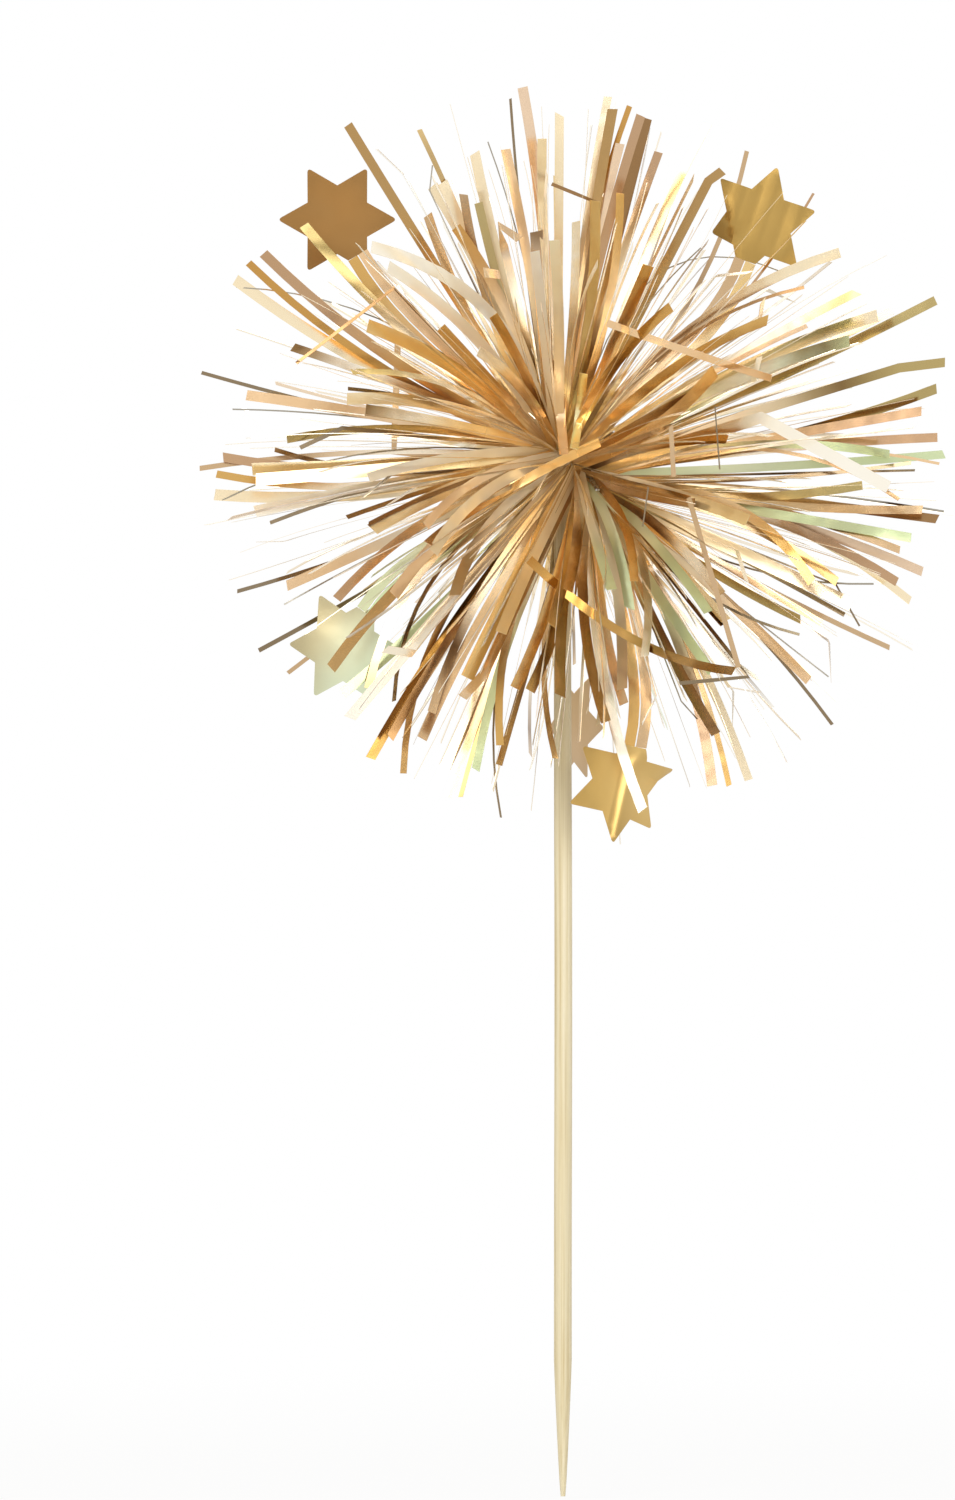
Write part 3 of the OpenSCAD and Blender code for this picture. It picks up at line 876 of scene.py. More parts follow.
    (5.2, -13.4, 4.1, -10.0, -31, 1.1, CREAM, GREEN),
    (7.1, -15.4, 6.6, -12.2, -27, 1.1, GREEN, GREEN),
    (15.8, -22.1, 12.6, -17.6, -16, 1.0, CREAM, GREEN),
    (17.0, -17.2, 14.7, -14.6, -17, 0.5, TAN, BROWN),
    (15.5, -15.8, 12.3, -11.4, -21, 1.0, GREEN, GREEN),
    (17.4, -16.7, 14.7, -13.8, -17, 1.2, PEACH, CREAM),
    (16.9, -13.9, 13.6, -10.0, -21, 1.0, BROWN, BRONZE),
    (6.5, -25.6, 4.2, -15.9, -13, 1.0, GOLD, TAN),
    (4.6, -27.5, 2.9, -21.0, -16, 1.1, GOLD, BRONZE),
    (-18.0, -14.0, -8.5, -4.2, -16, 1.25, WHITE, PEACH),
    (-11.5, -14.0, -4.6, -3.2, -20, 1.3, WHITE, BRONZE),
    (-6.6, -18.0, -2.6, -8.8, -24, 1.2, CREAM, LIGHT),
    (-1.2, -17.2, 0.8, -9.0, -26, 1.2, GOLD, GOLD),
    (0.5, -13.5, 1.5, -8.0, -28, 1.1, DEEP, GOLD),
    (-21.0, 5.8, -10.5, 3.9, -14, 1.1, GOLD, LIGHT),
    (-20.7, -1.5, -9.0, 1.0, -17, 1.0, CREAM, WHITE),
    (-9.0, 12.0, -4.0, 7.5, -24, 1.1, GOLD, WHITE),
    (-13.0, 14.5, -6.5, 7.4, -20, 1.1, GOLD, LIGHT),
    (-7.4, 15.8, -3.4, 8.2, -23, 1.0, BRONZE, GOLD),
    (13.8, 7.3, 8.0, 4.2, -22, 1.0, DEEP, BRONZE),
    (17.5, 2.6, 8.5, 1.6, -20, 1.0, BROWN, DEEP),
    (14.0, -4.2, 7.5, -3.0, -24, 1.0, ROSE, BRONZE),
    (8.7, -20.5, 8.0, -9.0, -20, 0.9, DEEP, WHITE),
    (7.6, -12.5, 6.6, -6.6, -27, 0.9, DEEP, GOLD),
))


@dataclass(frozen=True)
class ToneZone:
    """Tones of the plain strands in one sector of the front view, up to an angle from +X: partly the film's
    own tones and partly painted highlight, palest where the strips catch the light.
    """

    upto: float
    tones: tuple[Tint, ...]


TONE_ZONES = (
    ToneZone(35, (LIGHT, CREAM, STRAW, SAGE, CHAMPAGNE, GOLD)),
    ToneZone(80, (LIGHT, STRAW, GOLD, CHAMPAGNE, PEACH, STRAW)),
    # Painted highlight: this sector, where the strips catch the key light, is the whitest.
    ToneZone(135, (WHITE, CREAM, WHITE, CHAMPAGNE, CREAM, LIGHT)),
    ToneZone(165, (LIGHT, STRAW, CREAM, CHAMPAGNE, PEACH, GOLD)),
    ToneZone(205, (CREAM, PEACH, LIGHT, WHITE, CHAMPAGNE, STRAW)),
    ToneZone(240, (LIGHT, CHAMPAGNE, STRAW, BLUSH, GOLD, SAGE)),
    ToneZone(275, (STRAW, LIGHT, GOLD, CHAMPAGNE, PEACH)),
    ToneZone(320, (LIGHT, CREAM, GREEN, CHAMPAGNE, STRAW, WHITE)),
    ToneZone(360, (CREAM, LIGHT, CHAMPAGNE, SAGE, STRAW, BLUSH)),
)
PALE_TONES = (WHITE, CREAM, GREEN)
# Tones near the core, partly the film's own and partly painted light: white and cream for painted
# highlights, brown and cocoa for painted shade in the dark gaps.
CORE_TONES = (LIGHT, STRAW, CREAM, WHITE, BROWN, GOLD, COCOA)


@dataclass
class Strand:
    """A strand of the solids: its bundle, its place on the dome, its end and how it stands to the front.

    One that is edge-on leaves a strand that stands out in view. One that veils passes in front of
    the bare star.
    """

    bundle: int
    root: Array
    tip: Array
    edge_on: bool = False
    veils: bool = False


@dataclass
class TinselBurst:
    """The burst of film strands, in the twelve bundles of the solids."""

    stock: StripStock
    keep_outs: list[Array]
    stem_cells: list[Cell]
    # Sizes of the solids' strands.
    bundles: int = 12
    row_cells: tuple[int, ...] = (3, 3, 3, 2, 2, 1, 1)
    seed_steps: tuple[int, ...] = (97, 53, 11, 1, 1)
    first_el: float = 6.0
    last_el: float = 80.0
    jitter: float = 0.3
    reach: float = 42.0
    trim: float = 12.0
    lean: float = 1.0
    least: float = 14.0
    dome_r: float = 4.5
    low_el: float = 19.5
    top_el: float = 68.5
    keep_out: float = 9.0
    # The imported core, where the strips start.
    hub_r: float = 1.6
    hub_h: float = 3.6
    core_ends: tuple[Vec, ...] = ((-1.7, -2.2, 1.8), (1.0, -2.6, 0.0), (4.6, -1.6, -3.4))
    core_from: float = 0.45
    core_rate: float = 1.4
    # How a plain strip curves, twists and ends; bow, bend and pulls are shares of its length.
    width: float = 0.95
    rise: float = 0.8
    bow: float = 0.04
    root_share: float = 0.35
    first_pull: float = 0.25
    last_pull: float = 0.35
    bent_share: float = 0.08
    bent_by: float = 0.09
    parting: float = 0.64
    flat_share: float = 0.07
    front_flat_share: float = 0.15
    flat_twist: float = 25.0
    thin_twist: tuple[float, float] = (84.0, 6.0)
    width_range: tuple[float, float] = (0.82, 1.18)
    roll: float = 6.0
    slant: float = 0.25
    pinch: float = 0.4
    edge_pinch: float = 0.3
    # Where strips get their painted highlights and painted dark reflections, and which tones they show.
    glints: tuple[float, ...] = (0.0, 0.5, 1.0, 1.0)
    glint_range: tuple[float, float] = (0.15, 0.75)
    dusks: tuple[float, ...] = (-0.75, -0.45, 0.0, 0.45, 0.75)
    shade_range: tuple[float, float] = (0.92, 1.04)
    core_share: float = 0.75
    fade: float = 0.35
    # The strands that stand out.
    bend_rings: int = 2
    feature_least: float = 0.45
    feature_roll: float = 9.0
    feature_twist: float = 10.0
    feature_slant: float = 0.2
    feature_glints: tuple[float, ...] = (0.0, 0.3, 0.8)
    pale_metals: tuple[float, float] = (0.15, 0.5)
    dark_metals: tuple[float, float] = (0.5, 1.0)
    # Which plain strips stand edge-on, and the camera's place from the burst's centre.
    near: float = 9.0
    depth_weight: float = 0.35
    bare_star: int = 2
    bare_r: float = 6.6
    eye: Vec = (-9.1, -1110.0, -30.5)
    seed: int = 11

    def __post_init__(self) -> None:
        """Start the repeatable draws and work out the rings' places and a bundle's sector."""
        self.rng = np.random.default_rng(self.seed)
        self.share = np.linspace(0.0, 1.0, self.stock.segments + 1)
        self.sector = 360.0 / self.bundles

    def cell_centre(self, bundle: int, half: int, row: int, col: int) -> Array:
        """Find the middle of a cell of the hub's dome.

        Args:
            bundle: The bundle, from 0.
            half: 0 above the waist, 1 below it.
            row: Row of the cell, from the waist.
            col: Column in the row.

        Returns:
            The point from the burst's centre.
        """
        azimuth = self.sector * (bundle + (col + 0.5) / self.row_cells[row])
        rows = len(self.row_cells)
        elevation = self.low_el + (self.top_el - self.low_el) * (row + 0.5) / rows
        return polar(self.dome_r, azimuth, elevation if half == 0 else -elevation)

    def plain_strands(self) -> list[Strand]:
        """Work out the strands of the solids, clear of the stars' sweeps.

        Returns:
            The strands, bundle by bundle.
        """
        step = (self.last_el - self.first_el) / (len(self.row_cells) - 1)
        cells = [(b, h, r, c) for b in range(self.bundles) for h in (0, 1)
                 for r, count in enumerate(self.row_cells) for c in range(count)]
        found = []
        for bundle, half, row, col in cells:
            if (bundle, half, row, col) in self.stem_cells:
                continue
            seed = sum(n * s for n, s in zip((bundle, half, row, col, 1), self.seed_steps))
            azimuth = bundle * self.sector + self.sector / self.row_cells[row] * (
                col + 0.5 + self.jitter * (2 * spread(seed, 1) - 1))
            elevation = self.first_el + step * (row + self.jitter * (2 * spread(seed, 2) - 1))
            tip = polar(self.reach - self.trim * spread(seed, 3), azimuth,
                        elevation if half == 0 else -elevation) + (self.lean, 0.0, 0.0)
            root = self.cell_centre(bundle, half, row, col)
            tip = blend(root, tip, self.clear_share(root, tip))
            if np.linalg.norm(tip - root) >= self.least:
                found.append(Strand(bundle, root, tip))
        return found

    def clear_share(self, root: Array, tip: Array) -> float:
        """Find how much of a strand stays clear of every star's sweep.

        Args:
            root: Where the strand starts.
            tip: Where it would end.

        Returns:
            The share of its length, up to 1.
        """
        length = np.linalg.norm(tip - root)
        way = (tip - root) / length
        share = 1.0
        for centre in self.keep_outs:
            ahead = float((centre - root) @ way)
            aside = float(np.linalg.norm(centre - root - ahead * way))
            if ahead > 0.0 and aside < self.keep_out:
                share = min(share, (ahead - math.sqrt(self.keep_out ** 2 - aside ** 2)) / length)
        return share

    def hub_point(self, way: Array) -> Array:
        """Place a strand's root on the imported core, on the side that it leaves by.

        Args:
            way: The unit direction in which the strand leaves.

        Returns:
            The root: round the skewer's head at the back, on the slanted core at the front.
        """
        azimuth = math.atan2(way[1], way[0])
        ring = np.array((self.hub_r * math.cos(azimuth), self.hub_r * math.sin(azimuth),
                         float(np.clip(way[2], -1.0, 1.0)) * self.hub_h))
        high, middle, low = (np.array(p) for p in self.core_ends)
        lean = float(way @ unit(low - middle))
        core = middle + (low - middle) * max(0.0, lean) + (high - middle) * max(0.0, -lean)
        return blend(ring, core, float(smooth(np.array(self.core_from - self.core_rate * way[1]))))

    def plain_ribbon(self, strand: Strand) -> Ribbon:
        """Turn a strand of the solids into a curved strip.

        Args:
            strand: The strand to follow.

        Returns:
            The strip.
        """
        rng = self.rng
        start = self.hub_point(unit(strand.root + strand.tip))
        length = float(np.linalg.norm(strand.tip - start))
        way = unit(strand.tip - start)
        bow = np.cross(way, unit(rng.normal(size=3))) * rng.normal() * self.bow * length
        bow = bow + UP * self.rise * float(np.hypot(way[0], way[1]))
        leaving = (1.0 - self.root_share) * way + self.root_share * unit(strand.root)
        line = cubic(start, start + leaving * length * self.first_pull,
                     strand.tip - way * length * self.last_pull + bow, strand.tip, len(self.share))
        if rng.random() < self.bent_share:
            line[-1] += np.cross(way, unit(rng.normal(size=3))) * self.bent_by * length
        edge_on = strand.edge_on or float(way @ FRONT) > self.parting
        slim = edge_on or strand.veils
        front = strand.tip[1] < 0.0
        flat = rng.random() < (self.front_flat_share if front else self.flat_share)
        twist = (rng.normal(0.0, self.flat_twist) if flat
                 else rng.choice((-1.0, 1.0)) * rng.normal(*self.thin_twist))
        root_tone, tip_tone = ((STRAW.linear, CREAM.linear) if edge_on
                               else self.zone_tones(strand.tip))
        if not flat:
            tip_tone = blend(tip_tone, WHITE.linear, self.fade)
        return Ribbon(
            line, self.width * rng.uniform(*self.width_range), root_tone, tip_tone,
            unit(np.cross(way, FRONT)) if slim else FRONT,
            float(rng.normal(0.0, self.roll)), 0.0 if slim else float(twist),
            float(rng.normal(0.0, self.slant)), *self.sheen(self.glints, True),
            pinch=self.edge_pinch if edge_on else self.pinch)

    def sheen(self, glints: tuple[float, ...], wide: bool) -> Vec:
        """Choose where a strip gets its painted highlight and how dark the painted reflection beside it
        goes.

        Args:
            glints: Strengths to choose from.
            wide: Whether the strip is wide enough to show it.

        Returns:
            The place along the strip, the painted highlight's strength and the painted dark reflection's,
            signed by its side.
        """
        place = float(self.rng.uniform(*self.glint_range))
        glint = float(self.rng.choice(glints))
        dusk = float(self.rng.choice(self.dusks))
        return (place, glint, dusk) if wide else (place, 0.0, 0.0)

    def zone_tones(self, tip: Array) -> tuple[Array, Array]:
        """Choose a strand's tones from the sector that it points to.

        Args:
            tip: The strand's end from the burst's centre.

        Returns:
            The tone near the core and the tone at the end.
        """
        angle = math.degrees(math.atan2(tip[2], tip[0])) % 360.0
        zone = next(z for z in TONE_ZONES if angle <= z.upto)
        end = zone.tones[self.rng.integers(len(zone.tones))]
        core = CORE_TONES[self.rng.integers(len(CORE_TONES))]
        shade = self.rng.uniform(*self.shade_range)
        mixed = self.core_share * core.linear + (1.0 - self.core_share) * end.linear
        return mixed * shade, end.linear * shade

    def sighted(self, shown: tuple[float, ...], depth: float) -> Array:
        """Place a point on the line of sight from the camera.

        Args:
            shown: X and Z at which the point shows in the plane of the burst's centre.
            depth: The point's Y.

        Returns:
            The point from the burst's centre.
        """
        eye = np.array(self.eye)
        return eye + (np.array((shown[0], 0.0, shown[1])) - eye) * (depth - eye[1]) / -eye[1]

    def feature_line(self, feature: Feature) -> Array:
        """Trace a strand that stands out from its root through its way point to its end.

        Args:
            feature: The strand.

        Returns:
            The line, one row for each ring.
        """
        tip = self.sighted(feature.tip, feature.depth)
        part = min(1.0, math.hypot(*feature.via) / math.hypot(*feature.tip))
        via = self.sighted(feature.via, feature.depth * (1.0 if feature.kinked else part))
        start = self.hub_point(unit(via))
        if feature.loose is not None:
            start = self.sighted(feature.loose[::2], feature.loose[1])
        before, after = np.linalg.norm(via - start), np.linalg.norm(tip - via)
        knee = float(before / (before + after))
        if feature.kinked:
            rings = self.stock.segments
            turn = int(np.clip(round(knee * rings), self.bend_rings, rings - 1))
            inner = np.linspace(0.0, 1.0, turn + 1)[:, None]
            outer = np.linspace(0.0, 1.0, rings - turn + 1)[1:, None]
            return np.vstack((blend(start, via, inner), blend(via, tip, outer)))
        control = (via - (1 - knee) ** 2 * start - knee ** 2 * tip) / (2 * knee * (1 - knee))
        t = self.share[:, None]
        return (1 - t) ** 2 * start + 2 * t * (1 - t) * control + t ** 2 * tip

    def feature_ribbon(self, feature: Feature) -> Ribbon:
        """Turn a strand that stands out into a strip.

        Args:
            feature: The strand.

        Returns:
            The strip.
        """
        rng = self.rng
        place, glint, dusk = self.sheen(self.feature_glints, feature.width >= self.feature_least)
        pale = feature.root in PALE_TONES
        root_metal, end_metal = self.pale_metals if pale else self.dark_metals
        if feature.glint is not None:
            glint, dusk = feature.glint, 0.0
        return Ribbon(
            self.feature_line(feature), feature.width, feature.root.linear, feature.end.linear, FRONT,
            float(rng.normal(0.0, self.feature_roll)), float(rng.normal(0.0, self.feature_twist)),
            float(rng.normal(0.0, self.feature_slant)), place, glint, 0.0 if pale else dusk,
            root_metal=root_metal, end_metal=end_metal)

    def turn_strands(self, strands: list[Strand]) -> None:
        """Stand the strand nearest to each wide one that stands out edge-on, so that it doesn't hide it.

        Args:
            strands: The strands of the solids, which are marked.
        """
        for feature in FEATURES:
            tip = np.array((feature.tip[0], feature.depth, feature.tip[1]))
            free = [s for s in strands if not s.edge_on]
            apart = [float(np.linalg.norm((s.tip - tip) * (1.0, self.depth_weight, 1.0))) for s in free]
            best = int(np.argmin(apart))
            free[best].edge_on = feature.width >= self.feature_least and apart[best] < self.near

    def bare_the_star(self, strands: list[Strand]) -> None:
        """Mark the strands that pass in front of the bare star.

        Args:
            strands: The strands of the solids, which are marked.
        """
        star = np.array(next(p.place for p in STAR_PLANS if p.number == self.bare_star))
        for strand in strands:
            points = blend(strand.root, strand.tip, self.share[:, None])
            apart = np.hypot(points[:, 0] - star[0], points[:, 2] - star[2])
            strand.veils = bool(np.any((apart < self.bare_r) & (points[:, 1] < star[1])))

    def ribbons(self) -> list[list[Ribbon]]:
        """Sort every strip into its bundle.

        Returns:
            The strips of each bundle.
        """
        strands = self.plain_strands()
        self.turn_strands(strands)
        self.bare_the_star(strands)
        sorted_out: list[list[Ribbon]] = [[] for _ in range(self.bundles)]
        for feature in FEATURES:
            turn = math.degrees(math.atan2(feature.depth, feature.tip[0])) % 360.0
            sorted_out[int(turn // self.sector)].append(self.feature_ribbon(feature))
        for strand in strands:
            sorted_out[strand.bundle].append(self.plain_ribbon(strand))
        log.info("%d strands and %d that stand out", len(strands), len(FEATURES))
        return sorted_out

    def build(self, material: Material) -> list[Obj]:
        """Make the bundles.

        Args:
            material: The film's finish.

        Returns:
            One piece for each bundle.
        """
        pieces = []
        for number, strips in enumerate(self.ribbons(), start=1):
            piece = join([self.stock.lay(strip) for strip in strips], f"tinsel_strips_{number:02d}")
            dress(piece, material)
            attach(piece, TOPPER_BODY)
            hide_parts(f"tinsel_bundle_{number:02d}")
            pieces.append(piece)
            log.info("%s: %d strips", piece.name, len(strips))
        return pieces


class Fold(Enum):
    """How a star's foil lies."""

    FLAT = "flat"
    BOWED = "bowed"
    TUCKED = "one point tucked back"
    HALVED = "folded along the middle"


@dataclass(frozen=True)
class StarPlan:
    """One star: its place from the burst's centre, the way it faces, its stem and its look."""

    number: int
    place: Vec
    neck: float
    yaw: float
    pitch: float
    stem_cell: Cell
    fold: Fold
    low: Tint
    high: Tint
    fade: float
    stem_tones: tuple[Tint, Tint]


STAR_PLANS = (
    StarPlan(1, (-23.98, -3.99, 25.79), -60, 0, 0, (6, 0, 3, 0), Fold.FLAT,
             ANTIQUE, ANTIQUE, -60, (PEACH, GOLD)),
    StarPlan(2, (20.92, 3.99, 25.91), 251, 0, 0, (0, 0, 3, 0), Fold.TUCKED,
             BRASS, BRASS, 180, (LIGHT, TAN)),
    StarPlan(3, (-23.31, 2.98, -19.49), 57, -12, 0, (5, 1, 2, 2), Fold.BOWED,
             REED, MINT, -40, (SAGE, GREEN)),
    StarPlan(4, (6.59, -10.0, -34.31), 77, 0, -10, (10, 1, 5, 0), Fold.HALVED,
             OCHRE, STRAW, 0, (GOLD, TAN)),
    StarPlan(5, (1.30, 10.0, -28.10), 120, 62, 0, (3, 1, 5, 0), Fold.FLAT,
             FAWN, FAWN, 90, (TAN, ROSE)),
)


@dataclass
class FoilStars:
    """Six-pointed foil stars, each with a stem of two film strips, cut from one blank."""

    stock: StripStock
    burst: TinselBurst
    # The shape of the solids' stars and stems.
    points: int = 6
    star_r: float = 6.1
    notch_r: float = 3.65
    tip_r: float = 0.3
    tip_steps: int = 4
    stem_w: float = 2.4
    slit: float = 0.12
    film: float = 0.08
    crease_gap: float = 0.15
    bend_len: float = 2.5
    grid: float = 0.8
    smooth_below: float = 35.0
    # How each fold lies, with turns in degrees.
    flat_curl: float = 0.012
    bowed_curl: float = -0.02
    curl_level: float = 6.0
    dip: float = 0.01
    dip_from: float = 3.0
    ripple: float = 0.08
    ripple_rate: float = 1.9
    ripple_phase: float = 0.5
    ripple_edge: float = 4.2
    ripple_fade: float = 3.0
    tuck_way: float = -60.0
    tuck_from: float = 3.0
    tuck_turn: float = 52.0
    half_turn: float = 50.0
    half_ease: float = 2.5
    # Tones across a star, and the stems' run and look.
    fade_middle: float = 0.5
    fade_rate: float = 0.7
    rim_from: float = 2.0
    rim_over: float = 4.0
    mid_tone: float = 1.04
    rim_drop: float = 0.1
    stem_ease: float = 3.0
    stem_pinch: float = 0.3
    # A painted highlight along each stem strip.
    stem_glint_at: float = 0.6
    stem_glint: float = 0.25

    def __post_init__(self) -> None:
        """Work out the points' shape, then cut the blank."""
        self.half_step = 180.0 / self.points
        notch_x = self.notch_r * math.cos(math.radians(self.half_step))
        notch_y = self.notch_r * math.sin(math.radians(self.half_step))
        point_half = math.atan2(notch_y, self.star_r - notch_x)
        self.apex_r = self.star_r + self.tip_r / math.sin(point_half) - self.tip_r
        self.tip_cut = self.tip_r / math.tan(point_half)
        self.neck_x = self.apex_r - self.stem_w / 2 * (self.apex_r - notch_x) / notch_y
        self.hinge_x = self.neck_x + self.crease_gap / 2
        self.blank = self.cut_blank()

    def cut_blank(self) -> Obj:
        """Cut the star: a ring of points with every second one drawn in, ends rounded and the neck open.

        Returns:
            The blank in millimetres, its neck along +X, divided finely enough to bend.
        """
        deselect()
        bpy.ops.mesh.primitive_circle_add(vertices=2 * self.points, radius=self.apex_r, fill_type="NGON")
        blank = bpy.context.object
        blank.name = "star_blank"
        bpy.ops.object.mode_set(mode="EDIT")
        pick(blank, "VERT",
             lambda p: round(math.degrees(math.atan2(p.y, p.x)) / self.half_step) % 2 == 1)
        draw_in = self.notch_r / self.apex_r
        bpy.ops.transform.resize(value=(draw_in, draw_in, 1.0), center_override=(0.0, 0.0, 0.0))
        pick(blank, "VERT", lambda p: p.length > self.star_r and p.x < self.star_r)
        bpy.ops.mesh.bevel(offset=self.tip_cut, offset_type="OFFSET", segments=self.tip_steps,
                           affect="VERTICES")
        bpy.ops.mesh.select_all(action="SELECT")
        bpy.ops.mesh.bisect(plane_co=(self.hinge_x, 0.0, 0.0), plane_no=(1.0, 0.0, 0.0), clear_outer=True)
        for axis in ((1.0, 0.0, 0.0), (0.0, 1.0, 0.0)):
            for place in np.arange(-self.star_r, self.star_r, self.grid):
                bpy.ops.mesh.select_all(action="SELECT")
                bpy.ops.mesh.bisect(plane_co=tuple(float(place) * c for c in axis), plane_no=axis)
        bpy.ops.object.mode_set(mode="OBJECT")
        wall = blank.modifiers.new("foil", "SOLIDIFY")
        wall.thickness = self.film
        wall.offset = 0.0
        bpy.ops.object.modifier_apply(modifier=wall.name)
        return blank

    def folded(self, plan: StarPlan, points: Array) -> Array:
        """Bend the blank's points as the star's foil lies.

        Args:
            plan: The star.
            points: The blank's points, neck along +X.

        Returns:
            The bent points.
        """
        x, y, z = points.T.copy()
        if plan.fold is Fold.FLAT:
            z = z + self.flat_curl * (y * y - self.curl_level)
        elif plan.fold is Fold.BOWED:
            z = z + self.bowed_curl * (y * y - self.curl_level)
            z = z + self.dip * (x - self.dip_from) * np.abs(x)
        elif plan.fold is Fold.TUCKED:
            edge = smooth((self.ripple_edge - x) / self.ripple_fade)
            z = z + self.ripple * np.sin(self.ripple_rate * y + self.ripple_phase) * edge
            way, turn = math.radians(self.tuck_way), math.radians(self.tuck_turn)
            past = np.clip(x * math.cos(way) + y * math.sin(way) - self.tuck_from, 0.0, None)
            x = x - past * (1 - math.cos(turn)) * math.cos(way)
            y = y - past * (1 - math.cos(turn)) * math.sin(way)
            z = z - past * math.sin(turn)
        else:
            turn = math.radians(self.half_turn)
            past = np.clip(-y, 0.0, None)
            ease = smooth((self.hinge_x - x) / self.half_ease)
            y = np.where(y < 0.0, y * (1 - ease * (1 - math.cos(turn))), y)
            z = z - past * math.sin(turn) * ease
        return np.column_stack((x, y, z))

    def placed(self, plan: StarPlan, points: Array) -> Array:
        """Carry points from a star's own plane to the burst.

        Args:
            plan: The star.
            points: Points with the neck along +X and the face along +Z.

        Returns:
            The points from the burst's centre.
        """
        neck, yaw, pitch = (math.radians(a) for a in (plan.neck, plan.yaw, plan.pitch))
        x = points[:, 0] * math.cos(neck) - points[:, 1] * math.sin(neck)
        z = points[:, 0] * math.sin(neck) + points[:, 1] * math.cos(neck)
        y = -points[:, 2]
        y, z = y * math.cos(pitch) - z * math.sin(pitch), y * math.sin(pitch) + z * math.cos(pitch)
        x, y = x * math.cos(yaw) - y * math.sin(yaw), x * math.sin(yaw) + y * math.cos(yaw)
        return np.column_stack((x, y, z)) + np.array(plan.place)

    def star(self, plan: StarPlan, material: Material) -> Obj:
        """Copy the blank, fold it and put it on its body.

        Args:
            plan: The star.
            material: The foil's finish.

        Returns:
            The star.
        """
        piece = copied(self.blank)
        piece.name = f"star_foil_{plan.number}"
        flat = coordinates(piece.data)
        write_coordinates(piece.data, (self.placed(plan, self.folded(plan, flat)) + BURST_CENTRE) * MM)
        # The tone runs from low to high across the star, partly the foil's own colour and partly painted
        # reflection, and dims a little towards the rim.
        fade = math.radians(plan.fade - plan.neck)
        along = (flat[:, 0] * math.cos(fade) + flat[:, 1] * math.sin(fade)) / self.star_r
        tone = blend(plan.low.linear, plan.high.linear,
                     smooth(self.fade_middle + self.fade_rate * along)[:, None])
        rim = smooth((np.hypot(flat[:, 0], flat[:, 1]) - self.rim_from) / self.rim_over)[:, None]
        write_tints(piece.data, tone * (self.mid_tone - self.rim_drop * rim))
        deselect()
        piece.select_set(True)
        bpy.context.view_layer.objects.active = piece
        bpy.ops.object.shade_smooth_by_angle(angle=math.radians(self.smooth_below))
        dress(piece, material)
        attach(piece, f"star_{plan.number}")
        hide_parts(f"star_{plan.number}")
        log.info("%s: %s", piece.name, plan.fold.value)
        return piece

    def stem(self, plan: StarPlan, material: Material) -> Obj:
        """Lay the two strips of a star's stem side by side, from the core to the star's neck.

        Args:
            plan: The star.
            material: The strips' finish.

        Returns:
            The stem.
        """
        own = np.array(((self.hinge_x, 0.0, 0.0), (self.hinge_x + 1.0, 0.0, 0.0), (self.hinge_x, 0.0, 1.0)))
        neck, beyond, above = self.placed(plan, own)
        cell = self.burst.cell_centre(*plan.stem_cell)
        pull = float(np.linalg.norm(neck - cell)) / self.stem_ease
        line = cubic(self.burst.hub_point(unit(cell)), cell + unit(cell) * pull,
                     neck + (beyond - neck) * pull, neck, self.stock.segments + 1)
        strip = (self.stem_w - self.slit) / 2
        parts = [self.stock.lay(Ribbon(
            line, strip, tone.linear, tone.linear, above - neck, pinch=self.stem_pinch,
            glint_at=self.stem_glint_at, glint=self.stem_glint, aside=sign * (strip + self.slit) / 2))
            for sign, tone in zip((-1, 1), plan.stem_tones)]
        piece = join(parts, f"star_stem_film_{plan.number}")
        dress(piece, material)
        bend = neck + (beyond - neck) * self.bend_len
        tuple((bend + BURST_CENTRE) * MM)
        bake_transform(piece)
        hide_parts(f"star_stem_{plan.number}")
        log.info("%s: two strips", piece.name)
        return piece

    def build(self, foil: Material, film: Material) -> list[Obj]:
        """Make every star and stem.

        Args:
            foil: The stars' finish.
            film: The stems' finish.

        Returns:
            The stars and stems.
        """
        made = []
        for plan in STAR_PLANS:
            made += [self.stem(plan, film), self.star(plan, foil)]
        bpy.data.objects.remove(self.blank, do_unlink=True)
        return made


